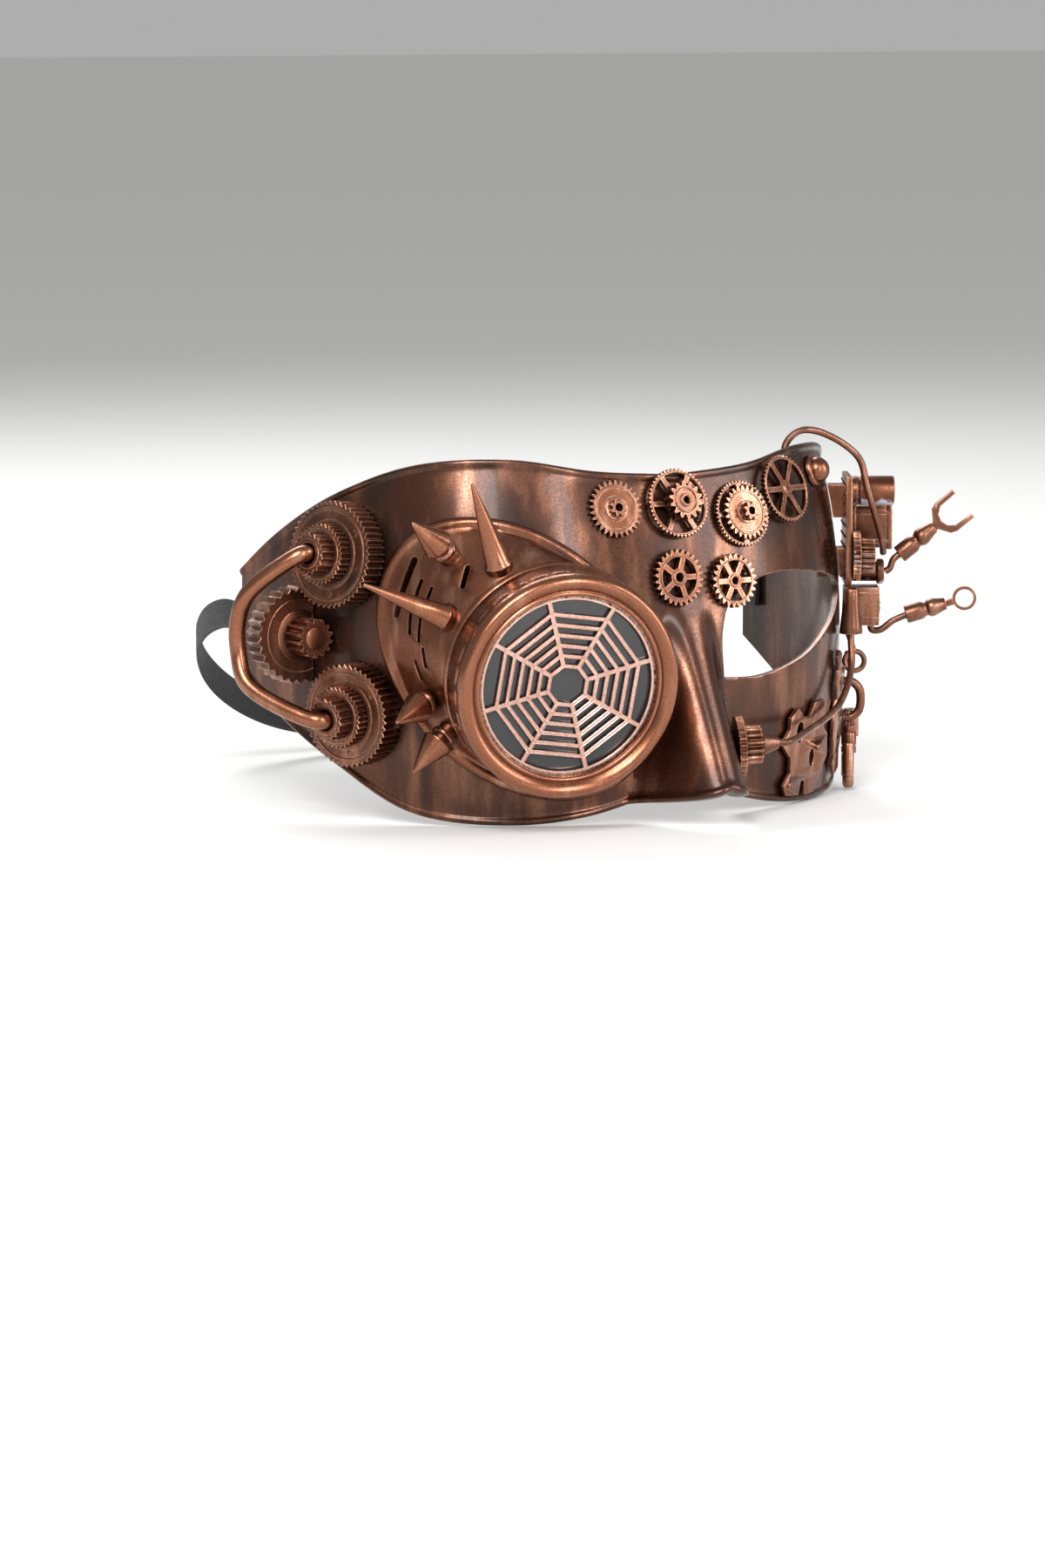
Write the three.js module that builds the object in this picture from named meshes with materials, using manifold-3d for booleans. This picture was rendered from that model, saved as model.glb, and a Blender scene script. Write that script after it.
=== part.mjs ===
// A steampunk half mask: a moulded shell, a screw-front goggle over one eye, and glued-on
// gears, spikes, tubes and leads. Millimetres, +Z up; the mask faces -Y and the wearer's
// left is +X. The origin is the point of the nose bridge that the face rests on.
import * as THREE from 'three';
import { mergeVertices } from 'three/addons/utils/BufferGeometryUtils.js';
import Module from 'manifold-3d';

const wasm = await Module();
wasm.setup();

// Driving dimensions of the shell.
const gap = 0.3;
const shellHalfWidth = 83;
const shellDepth = 96;
const shellWall = 2;
const shellSquareness = 2.7;
const shellEnd = 88;
const foreheadLean = 8;
const cheekLean = 3;
const browHeight = 45;
const noseTop = 12;
const noseLength = 48;
const noseRise = 24;
const noseHalfTop = 8;
const noseHalfBottom = 16.5;
const beadHeight = 0.7;
const beadWidth = 1.6;

// Driving dimensions of the goggle.
const goggleFace = new THREE.Vector3(-46, -15, -7);
const goggleTurn = 14;
const goggleTilt = 8;
const bezelRadius = 30;
const bezelDepth = 14;
const bezelLip = 2.5;
const windowRadius = 24.3;
const neckRadius = 27.1;
const neckWall = 2.6;
const threadClearance = 0.3;
const grilleThickness = 1;
const lensThickness = 2;
const flangeThickness = 1.6;
const cupWall = 2.2;
const cupTurn = -28.3;
const cupHalfTurn = 20.6;
const cupMiddle = -2;
const cupSlant = 12;
const cupHalfHeight = 32;
const cupRim = 3.4;
const peepRadius = 19;

// Driving dimensions of what is glued on.
const templeTubeRadius = 2.25;
const templeTubeStand = 21;
const leadRadius = 0.95;
const wheelThickness = 1.6;
const thinWheelThickness = 1.4;
const drilledWheelThickness = 2;
const plateThickness = 1.2;
const boardThickness = 1.6;
const strapWidth = 8;
const strapThickness = 1.2;

const rad = THREE.MathUtils.degToRad;
const up = new THREE.Vector3(0, 0, 1);
const v3 = (x, y, z) => new THREE.Vector3(x, y, z);

// Finishes.
const finish = (color, roughness, metalness) =>
  new THREE.MeshStandardMaterial({ color, roughness, metalness });
const darkCopper = finish(0x4a2c20, 0.32, 0.8);
const copper = finish(0xaa5a37, 0.38, 0.9);
const roseCopper = finish(0xc98a72, 0.3, 0.9);
const smoked = finish(0x3c3c3e, 0.08, 0);
const palePlastic = finish(0xb9aeb8, 0.4, 0);
const elastic = finish(0x111112, 0.7, 0);

const mask = new THREE.Group();
mask.name = 'steampunk_half_mask';

// Solids: closed geometry in and out of the boolean library.

function toSolid(geometry) {
  const bare = geometry.clone();
  bare.deleteAttribute('normal');
  bare.deleteAttribute('uv');
  const merged = mergeVertices(bare, 1e-4);
  return new wasm.Manifold(new wasm.Mesh({
    numProp: 3,
    vertProperties: new Float32Array(merged.attributes.position.array),
    triVerts: new Uint32Array(merged.index.array),
  }));
}

function toGeometry(solid) {
  const mesh = solid.getMesh();
  const geometry = new THREE.BufferGeometry();
  geometry.setAttribute('position', new THREE.BufferAttribute(mesh.vertProperties, 3));
  geometry.setIndex(new THREE.BufferAttribute(mesh.triVerts, 1));
  return geometry;
}

function join(...geometries) {
  return toGeometry(geometries.map(toSolid).reduce((all, next) => all.add(next)));
}

// Cuts tools out of a piece and keeps the piece itself, without the crumbs of a glancing cut.
function cut(geometry, ...tools) {
  const left = tools.map(toSolid).reduce((rest, tool) => rest.subtract(tool), toSolid(geometry));
  const bodies = left.decompose().sort((p, q) => q.volume() - p.volume());
  return toGeometry(bodies[0]);
}

function add(name, geometry, material) {
  const mesh = new THREE.Mesh(geometry, material);
  mesh.name = name;
  mask.add(mesh);
  return mesh;
}

// Places a geometry drawn along +Z so that +Z points along a direction, with its +Y near up.
function place(geometry, position, direction, nearUp = up) {
  const z = direction.clone().normalize();
  const x = nearUp.clone().cross(z).normalize();
  const y = z.clone().cross(x);
  const matrix = new THREE.Matrix4().makeBasis(x, y, z).setPosition(position);
  return geometry.clone().applyMatrix4(matrix);
}

const lathe = (points, sides) => {
  const profile = points.map(([r, z]) => new THREE.Vector2(r, z));
  return new THREE.LatheGeometry(profile, sides).rotateX(Math.PI / 2);
};

const rod = (radius, length, sides = 16) =>
  lathe([[0, 0], [radius, 0], [radius, length], [0, length]], sides);

const slab = (width, height, depth) =>
  new THREE.BoxGeometry(width, height, depth).translate(0, 0, depth / 2);

const extrude = (shape, depth) => new THREE.ExtrudeGeometry(shape, { depth, bevelEnabled: false });

function polygon(count, radius, start = 0) {
  const points = [];
  for (let i = 0; i < count; i += 1) {
    const a = start + (2 * Math.PI * i) / count;
    points.push(new THREE.Vector2(radius * Math.cos(a), radius * Math.sin(a)));
  }
  return points;
}

function tube(points, radius, sides, steps) {
  const path = new THREE.CatmullRomCurve3(points, false, 'centripetal');
  const section = new THREE.Shape(polygon(sides, radius));
  return new THREE.ExtrudeGeometry(section, { steps, extrudePath: path });
}

// The shell's outer surface. A turn is the angle round the head from the nose, in degrees.

function reach(turn) {
  const side = Math.abs(Math.sin(rad(turn))) / shellHalfWidth;
  const front = Math.abs(Math.cos(rad(turn))) / shellDepth;
  return (side ** shellSquareness + front ** shellSquareness) ** (-1 / shellSquareness);
}

function surface(turn, z) {
  const lean = (z > 0 ? foreheadLean : cheekLean) * (z / browHeight) ** 2;
  const r = reach(turn) - lean * Math.cos(rad(turn));
  const point = v3(r * Math.sin(rad(turn)), shellDepth - r * Math.cos(rad(turn)), z);
  const down = THREE.MathUtils.clamp((noseTop - z) / noseLength, 0, 1.2);
  const half = noseHalfTop + (noseHalfBottom - noseHalfTop) * down;
  const across = Math.min(1, Math.abs(point.x) / half);
  point.y -= noseRise * down ** 1.15 * (1 - across ** 2.4) ** 1.7;
  return point;
}

function outward(turn, z) {
  const along = surface(turn + 0.2, z).sub(surface(turn - 0.2, z));
  const above = surface(turn, z + 0.2).sub(surface(turn, z - 0.2));
  return along.cross(above).normalize();
}

function skin(turn, z, proud = 0) {
  return surface(turn, z).addScaledVector(outward(turn, z), proud);
}

const edgeAt = (points, turn) => {
  const at = Math.abs(turn);
  const next = points.findIndex(([t], i) => i > 0 && at <= t);
  const index = next < 0 ? points.length - 1 : next;
  const curve = new THREE.SplineCurve(points.map(([t, z]) => new THREE.Vector2(t, z)));
  let low = (index - 1) / (points.length - 1);
  let high = index / (points.length - 1);
  for (let i = 0; i < 30; i += 1) {
    const middle = (low + high) / 2;
    if (curve.getPoint(middle).x < at) {
      low = middle;
    } else {
      high = middle;
    }
  }
  return curve.getPoint(low).y;
};
const topEdge = [[0, 44.8], [15, 46.5], [30, 50], [45, 48.5], [60, 40.5], [75, 28.8], [88, 17]];
const bottomEdge = [[0, -36], [8, -40.5], [18, -44.5], [30, -46], [45, -43.5], [60, -32], [75, -21],
  [88, -11]];

// One closed wall between two offsets of the surface, with its rims grown by edge.
function wallSolid(outer, inner, edge, bead) {
  const turns = [];
  const noseTurns = 12;
  const sideSteps = 13;
  for (let t = 0; t < noseTurns; t += 2) {
    turns.push(t);
  }
  for (let i = 0; i <= sideSteps; i += 1) {
    turns.push(noseTurns + ((shellEnd - noseTurns) * i) / sideSteps);
  }
  const columns = [...turns.slice(1).reverse().map((t) => -t), ...turns];
  const ends = edge / shellHalfWidth / rad(1);
  columns[0] -= ends;
  columns[columns.length - 1] += ends;
  const inside = [0.12, 0.28, 0.44, 0.6, 0.78];
  const rings = columns.map((turn) => {
    const low = edgeAt(bottomEdge, turn) - edge;
    const high = edgeAt(topEdge, turn) + edge;
    const outerRow = [[low, bead], [low + beadWidth, bead], [low + 1.4 * beadWidth, 0]];
    inside.forEach((share) => outerRow.push([low + (high - low) * share, 0]));
    outerRow.push([high - 1.4 * beadWidth, 0], [high - beadWidth, bead], [high, bead]);
    const outerPoints = outerRow.map(([z, lift]) => skin(turn, z, outer + lift));
    const innerPoints = [low, ...inside.map((share) => low + (high - low) * share), high]
      .map((z) => skin(turn, z, inner)).reverse();
    return [...outerPoints, ...innerPoints];
  });
  return loft(rings);
}

// A closed solid through rings of points, capped at both ends with fans; or closed on itself.
function loft(rings, closed = false) {
  const count = rings[0].length;
  const positions = rings.flat().flatMap((p) => [p.x, p.y, p.z]);
  const index = [];
  const loops = closed ? rings.length : rings.length - 1;
  for (let i = 0; i < loops; i += 1) {
    for (let j = 0; j < count; j += 1) {
      const a = i * count + j;
      const b = i * count + ((j + 1) % count);
      const c = ((i + 1) % rings.length) * count + j;
      const d = ((i + 1) % rings.length) * count + ((j + 1) % count);
      index.push(a, c, b, b, c, d);
    }
  }
  if (!closed) {
    capEnds(rings, index);
  }
  const geometry = new THREE.BufferGeometry();
  geometry.setAttribute('position', new THREE.Float32BufferAttribute(positions, 3));
  geometry.setIndex(index);
  return geometry;
}

// The end walls of the shell: each face keeps the order in which its ring runs.
function capEnds(rings, index) {
  const last = (rings.length - 1) * rings[0].length;
  for (const [ring, base, turned] of [[rings[0], 0, false], [rings.at(-1), last, true]]) {
    const outline = ring.map((p) => new THREE.Vector2(p.x, p.z));
    for (const face of THREE.ShapeUtils.triangulateShape(outline, [])) {
      const [a, b, c] = [...face].sort((p, q) => p - q);
      index.push(base + a, base + (turned ? c : b), base + (turned ? b : c));
    }
  }
}

// The outline drawn in front view, run through the shell from front to back.
function eyeOpening(side) {
  const outline = [[12, -9.5], [11.5, 3], [14, 10.5], [22, 15.6], [32, 17.6], [48, 16.2], [60, 13.5],
    [64.5, 10.5], [60, 4.5], [52, -0.8], [42, -5.8], [25, -9.8]];
  const points = [...outline, outline[0]].map(([x, z]) => new THREE.Vector2(side * x, z));
  const curve = new THREE.SplineCurve(points);
  const opening = new THREE.Shape(curve.getPoints(44).slice(0, -1));
  return extrude(opening, 120).rotateX(Math.PI / 2).translate(0, 90, 0);
}

const goggleAxis = v3(
  -Math.sin(rad(goggleTurn)) * Math.cos(rad(goggleTilt)),
  -Math.cos(rad(goggleTurn)) * Math.cos(rad(goggleTilt)),
  -Math.sin(rad(goggleTilt)),
);

// A goggle piece is drawn along +Z with zero at the bezel's front face.
const onGoggle = (geometry) => place(geometry, goggleFace, goggleAxis);

const shellKeepOut = wallSolid(gap, -shellWall - gap, gap, beadHeight);

function makeShell() {
  const peep = onGoggle(rod(peepRadius, 80, 32).translate(0, 0, -70));
  return cut(wallSolid(0, -shellWall, 0, beadHeight), eyeOpening(1), peep);
}
add('mask_shell', makeShell(), darkCopper);

// The goggle: cup, threaded neck, screw-on bezel, grille and lens.

const lipBack = -bezelLip;
const grilleBack = lipBack - gap - grilleThickness;
const lensBack = grilleBack - gap - lensThickness;
const neckFront = lensBack - gap;
const flangeFront = -bezelDepth - gap;
const flangeBack = flangeFront - flangeThickness;
const boreRadius = neckRadius + threadClearance;
const ringSides = 44;

function makeBezel() {
  const outer = [[windowRadius, lipBack], [windowRadius, -1.4], [windowRadius + 1.6, -0.2],
    [bezelRadius - 2.4, 0], [bezelRadius - 0.7, -0.9], [bezelRadius, -2.8], [bezelRadius, -bezelDepth]];
  const inner = [[boreRadius, -bezelDepth], [boreRadius, lipBack], [windowRadius, lipBack]];
  return lathe([...outer, ...inner].reverse(), ringSides);
}

function makeNeck() {
  const inside = neckRadius - neckWall;
  const profile = [[inside, flangeBack], [bezelRadius - 0.5, flangeBack],
    [bezelRadius, flangeFront - 0.6], [bezelRadius - 0.4, flangeFront], [neckRadius, flangeFront],
    [neckRadius, neckFront], [inside, neckFront], [inside, flangeBack]];
  return lathe(profile, ringSides);
}

// A spider's-web grille: a ring, eight spokes and straight rungs between them.
function makeGrille() {
  const spokes = 8;
  const ringInner = windowRadius - 1.4;
  const ring = new THREE.Shape(polygon(ringSides, boreRadius - gap));
  const rungs = 6;
  const firstRung = 5.1;
  const rungPitch = 2.66;
  const rungHalf = 0.5;
  const rungAt = (k) => firstRung + rungPitch * k;
  const rimWindow = rungAt(rungs - 1) + rungHalf;
  const hubRadius = (firstRung - rungHalf) / Math.cos(Math.PI / spokes);
  const firstSpoke = 15;
  const barHalf = 0.55;
  for (let i = 0; i < spokes; i += 1) {
    const start = rad(firstSpoke + (360 / spokes) * i);
    const half = Math.PI / spokes;
    const middle = start + half;
    const sideAt = (r) => r * Math.tan(half) - barHalf / Math.cos(half);
    const spin = (along, aside) => new THREE.Vector2(
      along * Math.cos(middle) - aside * Math.sin(middle),
      along * Math.sin(middle) + aside * Math.cos(middle),
    );
    for (let k = 0; k < rungs - 1; k += 1) {
      const near = rungAt(k) + rungHalf;
      const far = rungAt(k + 1) - rungHalf;
      ring.holes.push(new THREE.Path([spin(near, -sideAt(near)), spin(far, -sideAt(far)),
        spin(far, sideAt(far)), spin(near, sideAt(near))]));
    }
    const rimAngle = half - barHalf / ringInner;
    const arc = [-1, -0.34, 0.34, 1].map((s) => spin(
      ringInner * Math.cos(s * rimAngle),
      ringInner * Math.sin(s * rimAngle),
    ));
    const side = sideAt(rimWindow);
    ring.holes.push(new THREE.Path([spin(rimWindow, -side), ...arc, spin(rimWindow, side)]));
  }
  ring.holes.push(new THREE.Path(polygon(spokes, hubRadius, rad(firstSpoke))));
  return extrude(ring, grilleThickness).translate(0, 0, grilleBack);
}

add('bezel_ring', onGoggle(makeBezel()), copper);
add('web_grille', onGoggle(makeGrille()), roseCopper);
const lens = rod(boreRadius - gap, lensThickness, ringSides).translate(0, 0, lensBack);
add('smoked_lens', onGoggle(lens), smoked);
add('goggle_neck', onGoggle(makeNeck()), copper);

// The cup runs from an oval foot on the shell to the circle behind the neck's flange.
function cupPoint(angle, share, out = 0, height = 0) {
  const a = rad(angle);
  const foot = cupFoot(angle, 0);
  const turn = cupTurn + cupHalfTurn * Math.cos(a);
  const normal = outward(turn, foot.z);
  const aside = cupFoot(angle, 1).sub(foot).normalize();
  const front = goggleRingPoint(angle, neckRadius + 1.2 + out, flangeBack - gap);
  const back = foot.addScaledVector(aside, out).addScaledVector(normal, height);
  return back.lerp(front, share);
}

function cupFoot(angle, grow) {
  const a = rad(angle);
  const turn = cupTurn + (cupHalfTurn + grow * 0.6) * Math.cos(a);
  const slant = cupSlant * Math.cos(a);
  return surface(turn, cupMiddle - slant + (cupHalfHeight + grow) * Math.sin(a));
}

function goggleRingPoint(angle, radius, height) {
  const a = rad(angle);
  const point = new THREE.BufferGeometry().setFromPoints([
    v3(radius * Math.cos(a), radius * Math.sin(a), height)]);
  return new THREE.Vector3().fromBufferAttribute(onGoggle(point).attributes.position, 0);
}

function cupRings(inset, wall) {
  const sides = 36;
  const rings = [];
  for (let i = 0; i < sides; i += 1) {
    const angle = (360 * i) / sides;
    rings.push([
      cupPoint(angle, 0, cupRim - inset, -1.5),
      cupPoint(angle, 0, cupRim - inset, 1.6),
      cupPoint(angle, 0, cupRim - 1.1 - inset, 2.7),
      cupPoint(angle, 0.04, 0.2 - inset, 2.9),
      cupPoint(angle, 0.55, 0.6 - inset, 1),
      cupPoint(angle, 1, 0 - inset, 0),
      cupPoint(angle, 1, -wall, 0),
      cupPoint(angle, 0, -wall, -1.5),
    ]);
  }
  return rings;
}

function ventSlot(angle, share, length, width, lean) {
  const at = cupPoint(angle, share);
  const ahead = cupPoint(angle, share + 0.05).sub(at).normalize();
  const beside = cupPoint(angle + 2, share).sub(at).normalize();
  const normal = beside.clone().cross(ahead).normalize();
  const along = ahead.clone().multiplyScalar(Math.sin(rad(lean)));
  along.addScaledVector(beside, Math.cos(rad(lean)));
  return place(new THREE.BoxGeometry(width, length, 9), at, normal, along);
}

// The room that the neck, its flange and the bezel take, from just behind the flange forwards.
const neckSpace = rod(bezelRadius + gap, bezelDepth + 3, 48).translate(0, 0, flangeBack - gap);
const neckKeepOut = onGoggle(neckSpace);

function makeCup() {
  const slots = [ventSlot(161, 0.2, 17, 2.2, 4), ventSlot(158, 0.36, 8, 1.3, 8),
    ventSlot(172, 0.38, 8, 1.3, 8), ventSlot(157, 0.5, 8, 1.1, 8), ventSlot(172, 0.52, 7, 1.1, 8),
    ventSlot(133, 0.66, 7, 1.6, 40), ventSlot(183, 0.62, 6, 1.1, 14), ventSlot(193, 0.5, 6, 1.1, 20)];
  return cut(loft(cupRings(0, cupWall), true), shellKeepOut, neckKeepOut, ...slots);
}
const cup = makeCup();
add('goggle_cup', cup, copper);

// Spikes stand on the cup's outer side; the short cones sit on a threaded collar.

const cupKeepOut = loft(cupRings(-gap, 4 * cupWall), true);

function coneSpike(radius, length, blunt) {
  return lathe([[0, -2], [radius * 0.8, -2], [radius * 0.93, 0], [radius, 0.8],
    [radius * 0.62, length * 0.42], [radius * 0.28, length * 0.8], [blunt, length - blunt],
    [0, length]], 14);
}

function longSpike(name, angle, share, direction, length) {
  const at = cupPoint(angle, share, 0.6, 0.6);
  const spike = place(coneSpike(3.7, length, 0.5), at, direction);
  add(name, cut(spike, cupKeepOut, cup, neckKeepOut), copper);
}
longSpike('spike_top_long', 116, 0.78, v3(-0.42, -0.15, 0.895), 25);
longSpike('spike_side_long', 155, 0.8, v3(-0.92, 0.1, 0.38), 25.5);

function shortSpike(name, angle, share, direction, stem, length) {
  const at = cupPoint(angle, share, 0.6, 0.6);
  const collar = lathe([[0, -2], [2.7, -2], [2.7, stem * 0.3], [3.4, stem * 0.38], [3.4, stem * 0.6],
    [2.7, stem * 0.68], [2.7, stem - gap], [0, stem - gap]], 12);
  const head = lathe([[0, 0], [4.1, 0], [4.2, 0.5], [0.5, length - 0.5], [0, length]], 14);
  add(`${name}_collar`, cut(place(collar, at, direction), cupKeepOut, cup, neckKeepOut), copper);
  const tip = at.clone().addScaledVector(direction.clone().normalize(), stem);
  add(name, cut(place(head, tip, direction), cupKeepOut, cup, neckKeepOut), copper);
}
shortSpike('spike_upper_short', 131, 0.36, v3(-0.8, -0.25, 0.54), 6, 12);
shortSpike('spike_lower_short', 206, 0.55, v3(-0.86, -0.46, -0.24), 5.5, 12);
shortSpike('spike_bottom_short', 221, 0.6, v3(-0.72, -0.05, -0.66), 4.5, 11);

// Gears. Blunt teeth have a flat tip, pointed ones meet in an edge.

function toothed(teeth, tip, depth, pointed = false) {
  const steps = pointed ? [[0, 0], [0.5, 1]] : [[0.06, 0], [0.3, 1], [0.6, 1], [0.84, 0]];
  const points = [];
  for (let i = 0; i < teeth; i += 1) {
    for (const [share, high] of steps) {
      const a = (2 * Math.PI * (i + share)) / teeth;
      const r = tip - depth * (1 - high);
      points.push(new THREE.Vector2(r * Math.cos(a), r * Math.sin(a)));
    }
  }
  return new THREE.Shape(points);
}

// Windows between spokes, from an inner to an outer radius.
function spokeWindows(shape, count, inner, outer, bar, start = 0) {
  for (let i = 0; i < count; i += 1) {
    const middle = start + (2 * Math.PI * (i + 0.5)) / count;
    const half = Math.PI / count;
    const arc = (r, shares) => shares.map((s) => {
      const a = middle + s * (half - bar / r);
      return new THREE.Vector2(r * Math.cos(a), r * Math.sin(a));
    });
    shape.holes.push(new THREE.Path([...arc(outer, [-1, -0.4, 0.4, 1]), ...arc(inner, [1, -1])]));
  }
}

function roundHoles(shape, count, at, radius, sides = 8, start = 0) {
  for (let i = 0; i < count; i += 1) {
    const a = start + (2 * Math.PI * i) / count;
    const centre = new THREE.Vector2(at * Math.cos(a), at * Math.sin(a));
    shape.holes.push(new THREE.Path(polygon(sides, radius).map((p) => p.add(centre))));
  }
}

function gear(teeth, tip, depth, thickness, options = {}) {
  const shape = toothed(teeth, tip, depth, options.pointed);
  if (options.windows) {
    spokeWindows(shape, ...options.windows);
  }
  if (options.holes) {
    roundHoles(shape, ...options.holes);
  }
  if (options.bore) {
    roundHoles(shape, 1, 0, options.bore, 8);
  }
  return extrude(shape, thickness);
}

const onSkin = (geometry, turn, z, proud = gap) =>
  place(geometry, skin(turn, z, proud), outward(turn, z));

// A wheel with a small eight-toothed hub on its face, as one moulding.
function hubbedWheel(teeth, tip, depth, thickness, hubHeight) {
  const disc = gear(teeth, tip, depth, thickness, { pointed: true, bore: 1.1 });
  return join(disc, gear(8, 2.6, 0.9, hubHeight, { bore: 1.1 }).translate(0, 0, thickness));
}

function browGears() {
  const overBead = beadHeight + gap;
  const fine = { pointed: true };
  const onTop = (geometry, below) => geometry.translate(0, 0, below + gap);
  add('brow_gear_a', onSkin(hubbedWheel(36, 7.8, 1, wheelThickness, 1.6), -12.3, 36.5), copper);

  const wheelB = gear(56, 9.4, 0.5, wheelThickness, { ...fine, windows: [6, 3.6, 8, 0.7], bore: 1 });
  const pinionB = onTop(gear(16, 5.2, 1, 3.6, { bore: 1 }), wheelThickness);
  add('brow_wheel_b', onSkin(wheelB, -0.5, 37, overBead), copper);
  add('brow_pinion_b', onSkin(pinionB, -0.5, 37, overBead), copper);

  const ringWindows = { ...fine, windows: [4, 5.4, 7.9, 0.8], bore: 1 };
  const ringC = gear(56, 9, 0.5, thinWheelThickness, ringWindows);
  const gearC = onTop(hubbedWheel(32, 7.4, 0.9, thinWheelThickness, 2.2), thinWheelThickness);
  add('brow_ring_c', onSkin(ringC, 12.3, 33.5), copper);
  add('brow_gear_c', onSkin(gearC, 12.3, 33.5), copper);

  const wheelD = gear(56, 9.2, 0.5, wheelThickness, { ...fine, windows: [6, 2, 8, 0.7] });
  add('brow_wheel_d', onSkin(wheelD, 22.6, 38.8, overBead), copper);

  const wheelE = gear(26, 7.6, 1, drilledWheelThickness, { holes: [5, 4.1, 1.5], bore: 1.3 });
  const wheelF = gear(24, 7.3, 1, drilledWheelThickness, { holes: [6, 4.2, 1.3], bore: 1 });
  add('brow_wheel_e', cut(onSkin(wheelE, -2, 18, 2 * gap), shellKeepOut), copper);
  add('brow_wheel_f', cut(onSkin(wheelF, 8.6, 16.2, 2 * gap), shellKeepOut), copper);
}
browGears();

// The temple: two stacks of compound gears joined by a bowed tube, and a gear standing on edge.

const stackBase = 6.5;
const stackMiddle = 3.6;
const stackTop = 4.4;

function templeStack(name, turn, z, radius, teeth) {
  const large = gear(teeth, radius, 1.1, stackBase, { pointed: true });
  const middle = gear(34, 8.2, 0.9, stackMiddle, { pointed: true });
  const pinion = gear(18, 5.6, 0.9, stackTop, { bore: templeTubeRadius + 2 * gap });
  const small = join(middle, pinion.translate(0, 0, stackMiddle)).translate(0, 0, stackBase + gap);
  add(`${name}_gear_large`, cut(onSkin(large, turn, z), cupKeepOut), copper);
  add(`${name}_gear_small`, onSkin(small, turn, z), copper);
  return [skin(turn, z, stackBase + stackMiddle + 3 * gap + 0.6), outward(turn, z)];
}
const [upperPlug, upperOut] = templeStack('upper', -58, 24, 14.3, 48);
const [lowerPlug, lowerOut] = templeStack('lower', -54.6, -17.5, 13.8, 46);

function makeTempleTube() {
  const leave = (plug, out, length) => plug.clone().addScaledVector(out, length);
  const bow = (out, y, z) => v3(-shellHalfWidth - templeTubeStand - out, y, z);
  const upperBend = leave(upperPlug, upperOut, 8.4).add(v3(0, 2.4, -2));
  const lowerBend = leave(lowerPlug, lowerOut, 8.6).add(v3(0, 4.5, 1));
  const points = [upperPlug, leave(upperPlug, upperOut, 5), upperBend, bow(0, 52, 15), bow(1, 56, 7),
    bow(0.6, 56.5, -1), bow(0, 53, -9), lowerBend, leave(lowerPlug, lowerOut, 5), lowerPlug];
  return tube(points, templeTubeRadius, 10, 22);
}
add('temple_tube', makeTempleTube(), copper);

const edgeGearRadius = 13;
const edgeGearThickness = 6.6;
const edgeGearAt = v3(-shellHalfWidth - 1.5, 65, 2);
const templeKeepOut = wallSolid(gap, -1.2 * edgeGearRadius, gap, beadHeight);
const toFront = v3(0, -1, 0);
const edgeGear = gear(30, edgeGearRadius, 1.1, edgeGearThickness, { pointed: true });
const edgePinion = gear(14, 5.2, 1, 8).translate(0, 0, edgeGearThickness + gap);
add('edge_gear', cut(place(edgeGear, edgeGearAt, toFront), templeKeepOut), copper);
add('edge_pinion', cut(place(edgePinion, edgeGearAt, toFront), templeKeepOut), copper);

// The wearer's left temple: a circuit board with parts on it, and what hangs from it.

const boardTurn = 46.5;
const boardOut = outward(boardTurn, 0).setZ(0).normalize();
const boardBack = up.clone().cross(boardOut);
const boardFoot = surface(boardTurn, 0);
const boardStand = 1.2;
const boardFace = boardStand + boardThickness;

// A point beside the board: out from the shell, up, and back along the head.
const beside = (out, z, back) =>
  v3(0, 0, z).add(boardFoot).addScaledVector(boardOut, out).addScaledVector(boardBack, back);
const onBoard = (geometry, out, z, back) => place(geometry, beside(out, z, back), boardOut);
const besideDirection = (out, z, back = 0) =>
  v3(0, 0, z).addScaledVector(boardOut, out).addScaledVector(boardBack, back).normalize();

function boardParts() {
  add('circuit_board', onBoard(slab(21, 30, boardThickness), boardStand, 25, 1.5), darkCopper);
  const can = lathe([[0, 0], [4, 0], [4, 1.2], [3.7, 1.6], [4, 2], [4, 11], [3.6, 11.4], [0, 11.4]],
    14);
  add('capacitor', onBoard(can, boardFace + gap, 36, -4), copper);
  add('chip_box', onBoard(slab(9, 12.4, 11.4), boardFace + gap, 25.4, 6.2), copper);
  const wheel = gear(30, 7, 0.8, 2.2, { pointed: true });
  const pinion = gear(16, 4.8, 0.9, 3.8, { bore: 1.2 }).translate(0, 0, 2.2);
  add('board_gear', onBoard(join(wheel, pinion), boardFace + gap, 18.4, -7.4), copper);
  const barrel = lathe([[0, 0], [2.7, 0], [2.7, 7.2], [3.5, 7.4], [3.5, 8.8], [3.1, 9.2], [0, 9.2]],
    16);
  add('flanged_barrel', onBoard(barrel, boardFace + gap, 13, 3), copper);
  const block = cut(onBoard(slab(9, 10.6, 9.6), 1.2, 3.9, 1.2), shellKeepOut);
  add('connector_block', block, copper);
}
boardParts();

function leadWire(name, points, steps) {
  add(name, tube(points, leadRadius, 8, steps), copper);
}

// A crimped terminal: a sleeve with a flat tongue, drawn along +Z from the lead's end.
function crimp(length) {
  return lathe([[0, 0], [2.5, 0], [2.5, length * 0.42], [1.9, length * 0.5], [2.5, length * 0.58],
    [2.5, length * 0.72], [1.7, length], [0, length]], 14);
}

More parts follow.
